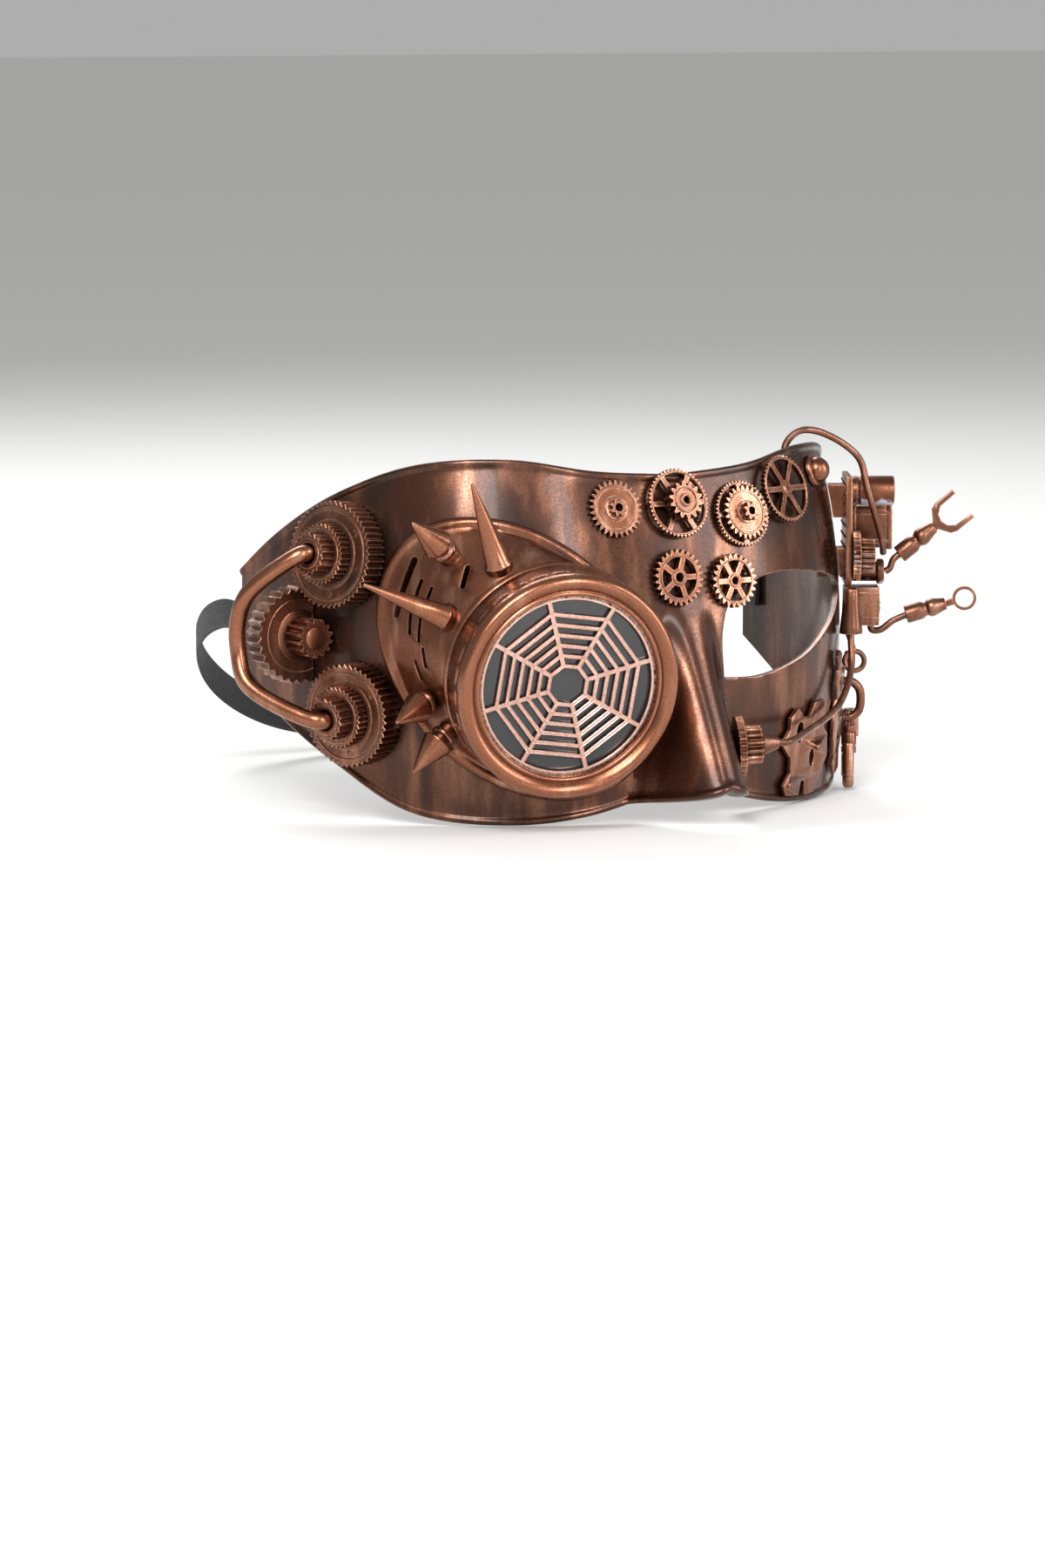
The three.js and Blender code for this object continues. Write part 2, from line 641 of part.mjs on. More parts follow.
function forkTerminal() {
  const length = 12.2;
  const outline = [[-1.2, -1], [1.2, -1], [1.2, 0.6], [4.2, 2.6], [4.9, 4.4], [4.9, 10.4], [3.6, 10.4],
    [3.4, 5], [2, 3.2], [0, 2.6], [-2, 3.2], [-3.4, 5], [-3.6, 10.4], [-4.9, 10.4], [-4.9, 4.4],
    [-4.2, 2.6], [-1.2, 0.6]];
  const fork = new THREE.Shape(outline.map(([x, y]) => new THREE.Vector2(x, y)));
  const tongue = extrude(fork, 1).translate(0, 0, -0.5).rotateX(Math.PI / 2).translate(0, 0, length);
  return join(crimp(length), tongue);
}

function ringTerminal() {
  const length = 11.4;
  const plate = new THREE.Shape(polygon(20, 3.3));
  plate.holes.push(new THREE.Path(polygon(16, 2.55)));
  const eye = extrude(plate, 1).translate(0, 5.4, -0.5);
  const neck = new THREE.BoxGeometry(1.8, 4, 1).translate(0, 1, 0);
  return join(crimp(length), join(eye, neck).rotateX(Math.PI / 2).translate(0, 0, length));
}

function leads() {
  const forkWay = besideDirection(0.78, 0.63);
  const forkRoot = beside(16.6, 17.6, 3);
  const ringWay = besideDirection(0.96, 0.27);
  const ringRoot = beside(18.4, 1.2, 1);
  const before = (root, way, length) => root.clone().addScaledVector(way, -length);
  leadWire('fork_lead', [beside(12.8, 13, 3), beside(14, 13.8, 3), before(forkRoot, forkWay, 2),
    before(forkRoot, forkWay, gap)], 8);
  add('fork_terminal', place(forkTerminal(), forkRoot, forkWay, boardBack), copper);
  leadWire('ring_lead', [beside(8.6, -1.8, 1), beside(9.2, -3, 1), beside(11.4, -3, 1), beside(15, -0.4, 1),
    before(ringRoot, ringWay, gap)], 12);
  add('ring_terminal', place(ringTerminal(), ringRoot, ringWay, boardBack), copper);
}
leads();

function archWire() {
  const points = [skin(30.5, 46.5, -shellWall - 2.2), skin(31, 50.8, -shellWall - 1),
    skin(32.5, 53.2, 0.6), skin(36, 51.5, 4.6), beside(4.4, 45.4, -9.6), beside(6.6, 38, -10.4),
    beside(9, 30, -9.4), beside(11.2, 22.5, -5.4), beside(11.9, 18.6, -1.2)];
  leadWire('arch_wire', points, 20);
}
archWire();
const dome = lathe([[0, 0], [4.4, 0], [4.4, 1], [3.5, 1.2], [3.4, 2], [2.8, 3.4], [1.6, 4.4],
  [0, 4.8]], 16);
add('dome_knob', onSkin(dome, 34.5, 42.5), copper);

// The lead down the cheek, from a bell ferrule to a cone ferrule on a gear beside the nose.

function cheekLead() {
  const bell = lathe([[0, 4], [1.9, 4], [2.2, 0], [3.2, 0], [2.9, 3.5], [2.4, 9], [2.2, 12],
    [1.2, 12.6], [0, 12.6]], 16);
  add('bell_ferrule', place(bell, beside(2.5, -2.6, -12.4), up, boardOut), copper);
  const points = [beside(2.5, 0.4, -12.4), beside(2.5, -4, -12.6), skin(38.5, -10, 4.4),
    skin(35.5, -16, 4.6), skin(31.5, -20.4, 4.8), skin(26.5, -23, 5.4), skin(21, -24, 8.4),
    besideNose(coneLength + 3 * gap + 2), besideNose(coneLength + 3 * gap)];
  leadWire('cheek_lead', points, 20);
  const cone = lathe([[0, 0], [3.1, 0], [3.1, 0.7], [1.6, coneLength], [0, coneLength]], 14);
  add('cone_ferrule', place(cone, besideNose(gap), noseGearWay), copper);
}

const noseGearAt = v3(11.4, -6.2, -27);
const noseGearWay = v3(0.9, -0.42, 0.06).normalize();
const noseWheel = 2;
const nosePinion = 4.8;
const coneLength = 4.4;

// A point on the nose gear's axis, measured from the end of its pinion.
const besideNose = (length) =>
  noseGearAt.clone().addScaledVector(noseGearWay, noseWheel + nosePinion + length);

function noseGear() {
  const wheel = gear(26, 8.3, 1, noseWheel, { pointed: true });
  const pinion = gear(14, 5.2, 1.3, nosePinion, { bore: 1.4 }).translate(0, 0, noseWheel);
  return cut(place(join(wheel, pinion), noseGearAt, noseGearWay), shellKeepOut);
}
add('nose_gear', noseGear(), copper);
cheekLead();

// Cog-edged cheek plates, cut from flat sheet.

function frontPlate() {
  const outline = [[-11.5, 2], [-8, 5.5], [-8, 9], [-4.6, 11.4], [-1.6, 8.6], [1.4, 8.8], [3.4, 12.2],
    [7.4, 12.6], [8.8, 9], [7.4, 5.6], [10.4, 3], [11, -3], [8.4, -7.4], [5.6, -12.6], [1.2, -13],
    [0.6, -9], [-1, -9], [-1.8, -12.8], [-7.6, -12.4], [-9.4, -9.6], [-6.6, -6.4], [-6.8, -2.4]];
  const shape = new THREE.Shape(outline.map(([x, y]) => new THREE.Vector2(x, y)));
  const slot = polygon(10, 1).map((p) => new THREE.Vector2(p.x * 1.7 - 3.2, p.y * 2.9 + 4.6));
  const curved = polygon(8, 1).map((p) => new THREE.Vector2(p.x * 1.2 + 3.4, p.y * 2.4 - 3));
  shape.holes.push(new THREE.Path(slot), new THREE.Path(curved));
  return extrude(shape, plateThickness);
}

function rearPlate() {
  const outline = [[-5.4, 17], [-3, 18.6], [0, 17.4], [0.4, 13.4], [2.4, 12], [5.4, 13.6], [6.2, 8.6],
    [4.4, 4], [6.4, 0.6], [6, -6], [3.6, -9.4], [4.6, -14.6], [0.4, -16], [-3.6, -13], [-2.6, -8.6],
    [-5, -5.6], [-4.8, 1.4], [-2.4, 4.8], [-3.8, 9.4], [-2.6, 13]];
  const shape = new THREE.Shape(outline.map(([x, y]) => new THREE.Vector2(x, y)));
  const slot = polygon(10, 1).map((p) => new THREE.Vector2(p.x * 1.1 + 1.6, p.y * 3 + 8));
  const notch = [[1, -3], [-0.6, -6.4], [3.6, -6.4]].map(([x, y]) => new THREE.Vector2(x, y));
  shape.holes.push(new THREE.Path(slot), new THREE.Path(notch));
  return extrude(shape, plateThickness);
}
add('cheek_plate_front', onSkin(frontPlate(), 25.3, -31), copper);
add('cheek_plate_rear', cut(onSkin(rearPlate(), 38.2, -25), shellKeepOut), copper);

// Small fittings down the side below the board.

function sideFittings() {
  const loop = new THREE.TorusGeometry(2.7, 0.75, 6, 14);
  const stem = place(rod(0.75, 5.2, 6), v3(0, 2.6, 0), v3(0.35, 0.94, 0), v3(0, 0, 1));
  add('wire_loop', place(join(loop, stem), beside(4.1, -11.2, -3), boardBack), copper);
  const ribs = lathe([[0, 0], [1.2, 0], [1.5, 0.4], [1.2, 1], [1.5, 1.6], [1.2, 2.2], [1.5, 2.8],
    [1.2, 3.4], [1.5, 4], [1.2, 4.6], [0, 4.6]], 12);
  add('ribbed_pin', place(ribs, beside(3, -13.4, 0.4), up, boardOut), copper);
  const hook = [beside(0.9, -16.6, -4.6), beside(3, -16.6, -4.6), beside(5.2, -18.4, -4.6),
    beside(5.8, -21.6, -4.6), beside(5.2, -24.8, -4.6), beside(3, -26.6, -4.6), beside(0.9, -26.6, -4.6)];
  add('hook_tube', tube(hook, 1.2, 8, 12), copper);
  const barrel = lathe([[0, 0], [2.1, 0], [2.1, 5.6], [1.7, 6], [1.7, 7.6], [0, 7.6]], 14);
  add('screw_barrel', place(barrel, beside(2.7, -36.6, -3.2), up, boardOut), copper);
  const knurled = gear(18, 2.5, 0.4, 7.6, { pointed: true });
  add('knurled_screw', place(knurled, beside(3.3, -32.6, 2.2), up, boardOut), copper);
  const groove = onBoard(slab(1.6, 8, 3), 1.9, -40.6, 1);
  add('side_channel', cut(onBoard(slab(3, 6, 2.6), 1, -40.6, 1), groove), copper);
  const pin = lathe([[0, 0], [1.2, 0.3], [1.6, 1.1], [1.6, 12], [1.4, 12.4], [0, 12.4]], 12);
  add('round_rod', place(pin, beside(2.3, -45.8, -7.6), up, boardOut), copper);
}
sideFittings();

// Strap tabs inside both ends of the shell, and the elastic strap between them.

const tabLength = 17;
const tabHeight = 9.6;
const tabThickness = 1.6;
const tabEnd = 101;
const tabMiddle = 3;

function tabX() {
  const inner = surface(shellEnd - 6, tabMiddle).x - shellWall;
  return inner - gap - tabThickness / 2;
}

function strapTab(side) {
  const plate = new THREE.BoxGeometry(tabThickness, tabLength, tabHeight);
  return cut(plate.translate(side * tabX(), tabEnd - tabLength / 2, tabMiddle), shellKeepOut);
}
add('strap_tab_right', strapTab(-1), palePlastic);
add('strap_tab_left', strapTab(1), palePlastic);

function makeStrap() {
  const half = [[1, 0.3, 0], [1, 8, 0], [0.985, 20, -3.4], [0.93, 33, -10], [0.82, 45, -19], [0.66, 54, -28],
    [0.46, 60, -35.5], [0.24, 63.4, -40], [0, 64.6, -41.6]];
  const point = (side) => ([x, back, drop]) => v3(side * x * tabX(), tabEnd + back, tabMiddle + drop);
  const points = [...half.map(point(-1)), ...half.slice(0, -1).reverse().map(point(1))];
  const path = new THREE.CatmullRomCurve3(points, false, 'centripetal');
  const x = strapThickness / 2;
  const y = strapWidth / 2;
  const corner = 0.96;
  const outline = [[-x, -y * corner], [-x / 2, -y], [x / 2, -y], [x, -y * corner], [x, y * corner],
    [x / 2, y], [-x / 2, y], [-x, y * corner]];
  const section = new THREE.Shape(outline.map(([a, b]) => new THREE.Vector2(a, b)));
  return new THREE.ExtrudeGeometry(section, { steps: 30, extrudePath: path });
}
add('strap', makeStrap(), elastic);

export default mask;
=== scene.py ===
"""A steampunk half mask: a copper-painted shell with a screw-front goggle, gears, spikes and leads.

Metres, +Z up; the mask faces -Y and the wearer's left is +X. The origin is the point of the nose bridge that
the face rests on. Lengths inside the sections are in millimetres, and each mesh is scaled when it is made.
"""

import math

import bmesh
import bpy
import numpy as np
from mathutils import Matrix, Vector, geometry


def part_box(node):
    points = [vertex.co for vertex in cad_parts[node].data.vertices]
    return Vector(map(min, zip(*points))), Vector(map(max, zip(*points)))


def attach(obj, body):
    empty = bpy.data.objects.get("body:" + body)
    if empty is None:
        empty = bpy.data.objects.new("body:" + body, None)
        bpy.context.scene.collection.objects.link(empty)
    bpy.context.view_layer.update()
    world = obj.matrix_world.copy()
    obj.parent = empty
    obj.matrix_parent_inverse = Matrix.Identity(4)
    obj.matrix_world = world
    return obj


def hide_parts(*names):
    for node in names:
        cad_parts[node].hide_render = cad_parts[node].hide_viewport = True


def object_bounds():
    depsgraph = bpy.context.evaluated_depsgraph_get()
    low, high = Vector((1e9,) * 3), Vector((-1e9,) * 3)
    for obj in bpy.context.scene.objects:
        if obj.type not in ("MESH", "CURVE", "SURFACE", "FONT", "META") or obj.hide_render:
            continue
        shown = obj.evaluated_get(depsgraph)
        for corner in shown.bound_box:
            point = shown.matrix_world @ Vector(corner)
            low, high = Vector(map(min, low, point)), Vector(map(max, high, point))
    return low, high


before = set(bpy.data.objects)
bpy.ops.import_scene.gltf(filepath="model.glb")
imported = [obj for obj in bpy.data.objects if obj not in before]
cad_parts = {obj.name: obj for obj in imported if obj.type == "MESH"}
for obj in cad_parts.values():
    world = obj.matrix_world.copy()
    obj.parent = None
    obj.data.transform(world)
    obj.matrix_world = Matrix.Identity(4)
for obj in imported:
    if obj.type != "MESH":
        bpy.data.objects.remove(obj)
cad_low, cad_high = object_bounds()
MM = 0.001
scene = bpy.context.scene


# The camera stands before the wearer's right cheek, a little above it, and looks at the goggle side.
# The framing leaves most of the empty picture below the mask, as for a mask worn by a standing wearer.
AZIMUTH, ELEVATION = math.radians(-32), math.radians(8)
CAMERA_DISTANCE = 1.5
camera_back = Vector((
    math.sin(AZIMUTH) * math.cos(ELEVATION),
    -math.cos(AZIMUTH) * math.cos(ELEVATION),
    math.sin(ELEVATION),
))
camera_aim = Vector((-0.0398, 0.0188, -0.0364))
camera_data = bpy.data.cameras.new("portrait_camera")
camera_data.sensor_width = 36
camera_data.lens = 130
camera = bpy.data.objects.new("portrait_camera", camera_data)
camera.location = camera_aim + camera_back * CAMERA_DISTANCE
camera.rotation_mode = "QUATERNION"
camera.rotation_quaternion = camera_back.to_track_quat("Z", "Y")
scene.collection.objects.link(camera)
scene.camera = camera


# The studio: a pale floor just under the cheeks, a bright plain surround and large soft panels.
# The tall panels at the sides give the long upright highlights that rubbed copper shows.
def soft_panel(name, place, target, width, height, power):
    data = bpy.data.lights.new(name, "AREA")
    data.shape = "RECTANGLE"
    data.size, data.size_y, data.energy = width, height, power
    panel = bpy.data.objects.new(name, data)
    panel.location = place
    panel.rotation_mode = "QUATERNION"
    panel.rotation_quaternion = (Vector(target) - Vector(place)).to_track_quat("-Z", "Y")
    scene.collection.objects.link(panel)


soft_panel("key_panel", (-0.75, -0.75, 0.75), (0, 0, 0), 0.5, 0.7, 15)
soft_panel("fill_panel", (0.85, -0.85, 0.35), (0, 0, 0), 0.45, 0.9, 9)
soft_panel("front_panel", (0.05, -1.3, 0.5), (0, 0, 0), 0.22, 0.9, 8)
soft_panel("back_panel", (0.2, 1.0, 0.9), (0, 0.05, 0), 0.9, 0.5, 10)

surround = bpy.data.worlds.new("pale_surround")
surround.use_nodes = True
surround.node_tree.nodes["Background"].inputs["Color"].default_value = (1, 1, 1, 1)
surround.node_tree.nodes["Background"].inputs["Strength"].default_value = 0.42
scene.world = surround
scene.view_settings.view_transform = "Standard"

FLOOR_SIZE = 30
floor_data = bpy.data.meshes.new("studio_floor")
floor_level = cad_low.z - 0.0004
half = FLOOR_SIZE / 2
floor_corners = [(x * half, y * half, floor_level) for x, y in ((-1, -1), (1, -1), (1, 1), (-1, 1))]
floor_data.from_pydata(floor_corners, [], [(0, 1, 2, 3)])
floor_paint = bpy.data.materials.new("floor_paint")
floor_paint.use_nodes = True
floor_shader = floor_paint.node_tree.nodes["Principled BSDF"]
floor_shader.inputs["Base Color"].default_value = (0.86, 0.86, 0.85, 1)
floor_shader.inputs["Roughness"].default_value = 0.7
floor_data.materials.append(floor_paint)
studio_floor = bpy.data.objects.new("studio_floor", floor_data)
scene.collection.objects.link(studio_floor)


# The head strap: one flat braided elastic, 8 mm wide, sewn to a tab at each temple.
# With no head in it, it hangs in a slack loop behind the mask.
STRAP_WIDTH, STRAP_THICKNESS = 8, 1.2
STRAP_RIBS = 9
tab_low, tab_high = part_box("strap_tab_left")
tab_x = (tab_low.x + tab_high.x) / 2 / MM
tab_end = tab_high.y / MM
tab_middle = (tab_low.z + tab_high.z) / 2 / MM
STRAP_HALF_ROUTE = [
    (1, 0.3, 0), (1, 8, 0), (0.985, 20, -3.4), (0.93, 33, -10), (0.82, 45, -19), (0.66, 54, -28),
    (0.46, 60, -35.5), (0.24, 63.4, -40), (0, 64.6, -41.6),
]


def through(points, count):
    """Evenly spaced points on the centripetal Catmull-Rom curve through some points."""
    p = np.array(points, float)
    p = np.vstack([2 * p[0] - p[1], p, 2 * p[-1] - p[-2]])
    dense = []
    for p0, p1, p2, p3 in zip(p, p[1:], p[2:], p[3:]):
        d0, d1, d2 = (math.sqrt(np.linalg.norm(b - a)) for a, b in ((p0, p1), (p1, p2), (p2, p3)))
        m1 = ((p1 - p0) / d0 - (p2 - p0) / (d0 + d1) + (p2 - p1) / d1) * d1
        m2 = ((p2 - p1) / d1 - (p3 - p1) / (d1 + d2) + (p3 - p2) / d2) * d1
        for t in np.arange(40) / 40:
            dense.append(
                (2 * t**3 - 3 * t**2 + 1) * p1 + (t**3 - 2 * t**2 + t) * m1
                + (3 * t**2 - 2 * t**3) * p2 + (t**3 - t**2) * m2
            )
    dense = np.array([*dense, p[-2]])
    length = np.concatenate([[0], np.cumsum(np.linalg.norm(np.diff(dense, axis=0), axis=1))])
    even = np.linspace(0, length[-1], count)
    return [Vector([np.interp(s, length, dense[:, k]) for k in range(3)]) for s in even]


def make_mesh(name, points, faces):
    """A mesh object at the origin from millimetre points, its doubles merged and its faces turned out."""
    data = bpy.data.meshes.new(name)
    data.from_pydata([Vector(p) * MM for p in points], [], faces)
    work = bmesh.new()
    work.from_mesh(data)
    bmesh.ops.remove_doubles(work, verts=work.verts, dist=1e-7)
    bmesh.ops.recalc_face_normals(work, faces=work.faces)
    work.to_mesh(data)
    work.free()
    made = bpy.data.objects.new(name, data)
    scene.collection.objects.link(made)
    return made


def sweep(rings, closed=False):
    """Points and faces of a skin over rings of points, with a cap at each end."""
    count = len(rings[0])
    faces = []
    for i in range(len(rings) if closed else len(rings) - 1):
        ahead = (i + 1) % len(rings)
        for j in range(count):
            k = (j + 1) % count
            faces.append((i * count + j, ahead * count + j, ahead * count + k, i * count + k))
    if not closed:
        faces += [tuple(range(count)), tuple(range((len(rings) - 1) * count, len(rings) * count))]
    return [p for ring in rings for p in ring], faces


def finish_mesh(made, smooth_angle=35):
    """Applies the modifiers, and shades the mesh smooth up to an angle."""
    made.modifiers.update()
    evaluated = made.evaluated_get(bpy.context.evaluated_depsgraph_get())
    mesh = bpy.data.meshes.new_from_object(evaluated)
    made.modifiers.clear()
    made.data = mesh
    mesh.shade_smooth()
    mesh.set_sharp_from_angle(angle=math.radians(smooth_angle))
    return made


def settle(made, material, slot, *nodes, body="mask"):
    """Gives a finished piece its material and its place in the frame."""
    made.data.materials.clear()
    made.data.materials.append(material)
    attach(made, body)
    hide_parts(*nodes)
    return made


def new_material(name):
    made = bpy.data.materials.new(name)
    made.use_nodes = True
    return made, made.node_tree, made.node_tree.nodes["Principled BSDF"]


def strap_mesh():
    """The flat band: its width stays upright along the loop, and its braid stands out in lengthwise ribs."""
    right = [(-x * tab_x, tab_end + back, tab_middle + drop) for x, back, drop in STRAP_HALF_ROUTE]
    left = [(-x, y, z) for x, y, z in reversed(right[:-1])]
    path = through(right + left, 301)
    across = 2 * STRAP_RIBS * 2
    rings, shares = [], []
    for i, at in enumerate(path):
        along = (path[min(i + 1, len(path) - 1)] - path[max(i - 1, 0)]).normalized()
        upright = (Vector((0, 0, 1)) - along * along.z).normalized()
        aside = along.cross(upright)
        front = []
        for j in range(across + 1):
            share = j / across * 2 - 1
            rib = 0.09 * abs(math.sin(share * STRAP_RIBS * math.pi / 2))
            thick = (STRAP_THICKNESS / 2 - 0.1) * (1 - abs(share) ** 9) + rib
            front.append((share, max(thick, 0.06)))
        back = [(share, -thick) for share, thick in reversed(front)]
        edge = upright * STRAP_WIDTH / 2
        rings.append([at + edge * share + aside * thick for share, thick in front + back])
        shares.append([(i / (len(path) - 1), share / 2 + 0.5) for share, _ in front + back])
    return rings, shares, path


def elastic_cloth(length):
    """Black braided elastic: slanting stitches in rows along the band, a soft sheen and a little lint."""
    made, tree, shader = new_material("black_braided_elastic")
    uv = tree.nodes.new("ShaderNodeUVMap")
    uv.uv_map = "band"
    stretch = tree.nodes.new("ShaderNodeMapping")
    stretch.inputs["Scale"].default_value = (length / 0.9, STRAP_RIBS, 1)
    tree.links.new(uv.outputs["UV"], stretch.inputs["Vector"])
    stitches = tree.nodes.new("ShaderNodeTexWave")
    stitches.bands_direction = "DIAGONAL"
    stitches.inputs["Scale"].default_value = 0.7
    stitches.inputs["Distortion"].default_value = 0.4
    tree.links.new(stretch.outputs["Vector"], stitches.inputs["Vector"])
    lint = tree.nodes.new("ShaderNodeTexNoise")
    lint.inputs["Scale"].default_value = 900
    tree.links.new(tree.nodes.new("ShaderNodeTexCoord").outputs["Object"], lint.inputs["Vector"])
    colour = tree.nodes.new("ShaderNodeValToRGB")
    colour.color_ramp.elements[0].color = (0.003, 0.003, 0.0035, 1)
    colour.color_ramp.elements[1].color = (0.016, 0.0155, 0.017, 1)
    tree.links.new(stitches.outputs["Fac"], colour.inputs["Fac"])
    tree.links.new(colour.outputs["Color"], shader.inputs["Base Color"])
    rough = tree.nodes.new("ShaderNodeMapRange")
    rough.inputs["To Min"].default_value, rough.inputs["To Max"].default_value = 0.42, 0.75
    tree.links.new(lint.outputs["Fac"], rough.inputs["Value"])
    tree.links.new(rough.outputs["Result"], shader.inputs["Roughness"])
    bump = tree.nodes.new("ShaderNodeBump")
    bump.inputs["Distance"].default_value = 0.0002
    bump.inputs["Strength"].default_value = 0.7
    tree.links.new(stitches.outputs["Fac"], bump.inputs["Height"])
    tree.links.new(bump.outputs["Normal"], shader.inputs["Normal"])
    shader.inputs["Sheen Weight"].default_value = 0.08
    return made


strap_rings, strap_shares, strap_path = strap_mesh()
strap_length = sum((b - a).length for a, b in zip(strap_path, strap_path[1:]))
strap = make_mesh("strap_elastic", *sweep(strap_rings))
band_uv = strap.data.uv_layers.new(name="band")
flat_shares = [share for ring in strap_shares for share in ring]
flat_points = [p for ring in strap_rings for p in ring]


def place_key(point):
    return tuple(round(c, 4) for c in point)


nearest = {place_key(p): share for p, share in zip(flat_points, flat_shares)}
for loop in strap.data.loops:
    at = strap.data.vertices[loop.vertex_index].co / MM
    band_uv.data[loop.index].uv = nearest.get(place_key(at), (0, 0))
strap.data.shade_smooth()
settle(strap, elastic_cloth(strap_length), "black_elastic", "strap")


# The shell: one moulded plastic wall 2 mm thick, curved round the brow, with a thin bead along its rims.
# It is sprayed near black, then rubbed by hand with copper paint, which lies in cloudy patches and streaks;
# its streaks and edges also carry painted highlights, and its recesses painted shade.
SHELL_HALF_WIDTH, SHELL_DEPTH, SHELL_WALL = 83, 96, 2
SHELL_SQUARENESS, SHELL_END = 2.7, 88
FOREHEAD_LEAN, CHEEK_LEAN, BROW_HEIGHT = 8, 3, 45
NOSE_TOP, NOSE_LENGTH, NOSE_RISE = 12, 48, 24
NOSE_HALF_TOP, NOSE_HALF_BOTTOM = 8, 16.5
BEAD_HEIGHT, BEAD_WIDTH = 0.7, 1.6
GAP = 0.3
TOP_EDGE = [(0, 44.8), (15, 46.5), (30, 50), (45, 48.5), (60, 40.5), (75, 28.8), (88, 17)]
BOTTOM_EDGE = [(0, -36), (8, -40.5), (18, -44.5), (30, -46), (45, -43.5), (60, -32), (75, -21), (88, -11)]
EYE_OUTLINE = [
    (12, -9.5), (11.5, 3), (14, 10.5), (22, 15.6), (32, 17.6), (48, 16.2), (60, 13.5), (64.5, 10.5),
    (60, 4.5),
    (52, -0.8), (42, -5.8), (25, -9.8),
]


def surface(turn, z):
    """The shell's outer face, by the angle round the head from the nose and the height."""
    a = math.radians(turn)
    lean = (FOREHEAD_LEAN if z > 0 else CHEEK_LEAN) * (z / BROW_HEIGHT) ** 2
    side, front = abs(math.sin(a)) / SHELL_HALF_WIDTH, abs(math.cos(a)) / SHELL_DEPTH
    reach = (side**SHELL_SQUARENESS + front**SHELL_SQUARENESS) ** (-1 / SHELL_SQUARENESS)
    r = reach - lean * math.cos(a)
    x, y = r * math.sin(a), SHELL_DEPTH - r * math.cos(a)
    down = min(1.2, max(0, (NOSE_TOP - z) / NOSE_LENGTH))
    half_nose = NOSE_HALF_TOP + (NOSE_HALF_BOTTOM - NOSE_HALF_TOP) * down
    across = min(1, abs(x) / half_nose)
    return Vector((x, y - NOSE_RISE * down**1.15 * (1 - across**2.4) ** 1.7, z))


def outward(turn, z):
    along = surface(turn + 0.2, z) - surface(turn - 0.2, z)
    above = surface(turn, z + 0.2) - surface(turn, z - 0.2)
    return along.cross(above).normalized()


def skin(turn, z, proud=0):
    return surface(turn, z) + outward(turn, z) * proud


def edge_heights(points, turns):
    """The height of a rim at each turn, on a smooth curve through its points."""
    line = through([(t, z, 0) for t, z in points], 400)
    return np.interp(np.abs(turns), [p.x for p in line], [p.y for p in line])


def wall_mesh(name, outer, inner, columns, rows, grow=0):
    """The closed wall between two offsets of the surface, with a rounded bead along both rims."""
    turns = np.linspace(-SHELL_END, SHELL_END, columns)
    turns[0] -= grow / SHELL_HALF_WIDTH / math.radians(1)
    turns[-1] += grow / SHELL_HALF_WIDTH / math.radians(1)
    lows, highs = edge_heights(BOTTOM_EDGE, turns) - grow, edge_heights(TOP_EDGE, turns) + grow
    rim = [(0, 0.25), (0.12, 0.7), (0.35, 1), (0.7, 0.95), (1, 0.6), (1.2, 0.15), (1.4, 0)]
    inside = np.linspace(0, 1, rows)[1:-1]
    rings = []
    for turn, low, high in zip(turns, lows, highs):
        outer_row = [(low + across * BEAD_WIDTH, lift * BEAD_HEIGHT) for across, lift in rim]
        start, stop = low + 1.4 * BEAD_WIDTH, high - 1.4 * BEAD_WIDTH
        outer_row += [(start + (stop - start) * share, 0) for share in inside]
        outer_row += [(high - across * BEAD_WIDTH, lift * BEAD_HEIGHT) for across, lift in reversed(rim)]
        ring = [skin(turn, z, outer + lift) for z, lift in outer_row]
        ring += [skin(turn, low + (high - low) * s, inner) for s in [1, *reversed(inside), 0]]
        rings.append(ring)
    points, faces = sweep(rings)
    turned = rows + 2 * len(rim) - 2
    caps = faces[-2:]
    faces = faces[:-2]
    for cap in caps:
        outer_side, inner_side = cap[:turned], tuple(reversed(cap[turned:]))
        o, i = 0, 0
        while o < len(outer_side) - 1 or i < len(inner_side) - 1:
            if i == len(inner_side) - 1 or o / (len(outer_side) - 1) <= i / (len(inner_side) - 1):
                faces.append((outer_side[o], outer_side[o + 1], inner_side[i]))
                o += 1
            else:
                faces.append((outer_side[o], inner_side[i + 1], inner_side[i]))
                i += 1
    return make_mesh(name, points, faces)


def cut_out(made, *tools, stacked=False):
    """Takes tools out of a piece, and removes them. A stacked piece is several overlapping solids."""
    for tool in tools:
        cutter = made.modifiers.new("cut", "BOOLEAN")
        cutter.operation = "DIFFERENCE"
        cutter.solver = "EXACT"
        cutter.use_self = stacked
        cutter.object = tool
    finish_mesh(made)
    for tool in tools:
        bpy.data.objects.remove(tool)
    return made


def round_edges(made, width, segments=2, angle=40):
    """Breaks the sharp edges, as moulding and paint do."""
    bevel = made.modifiers.new("round", "BEVEL")
    bevel.width = width * MM
    bevel.segments = segments
    bevel.limit_method = "ANGLE"
    bevel.angle_limit = math.radians(angle)
    bevel.use_clamp_overlap = True
    return finish_mesh(made)


def link(tree, output, socket):
    tree.links.new(output, socket)


def sockets(group, inputs, outputs):
    """Names a shader group's inputs, with their values, and its outputs."""
    for name, value in inputs.items():
        kind = "NodeSocketColor" if isinstance(value, tuple) else "NodeSocketFloat"
        group.interface.new_socket(name, in_out="INPUT", socket_type=kind).default_value = value
    for name, kind in outputs.items():
        group.interface.new_socket(name, in_out="OUTPUT", socket_type=kind)
    return group.nodes.new("NodeGroupInput").outputs, group.nodes.new("NodeGroupOutput").inputs


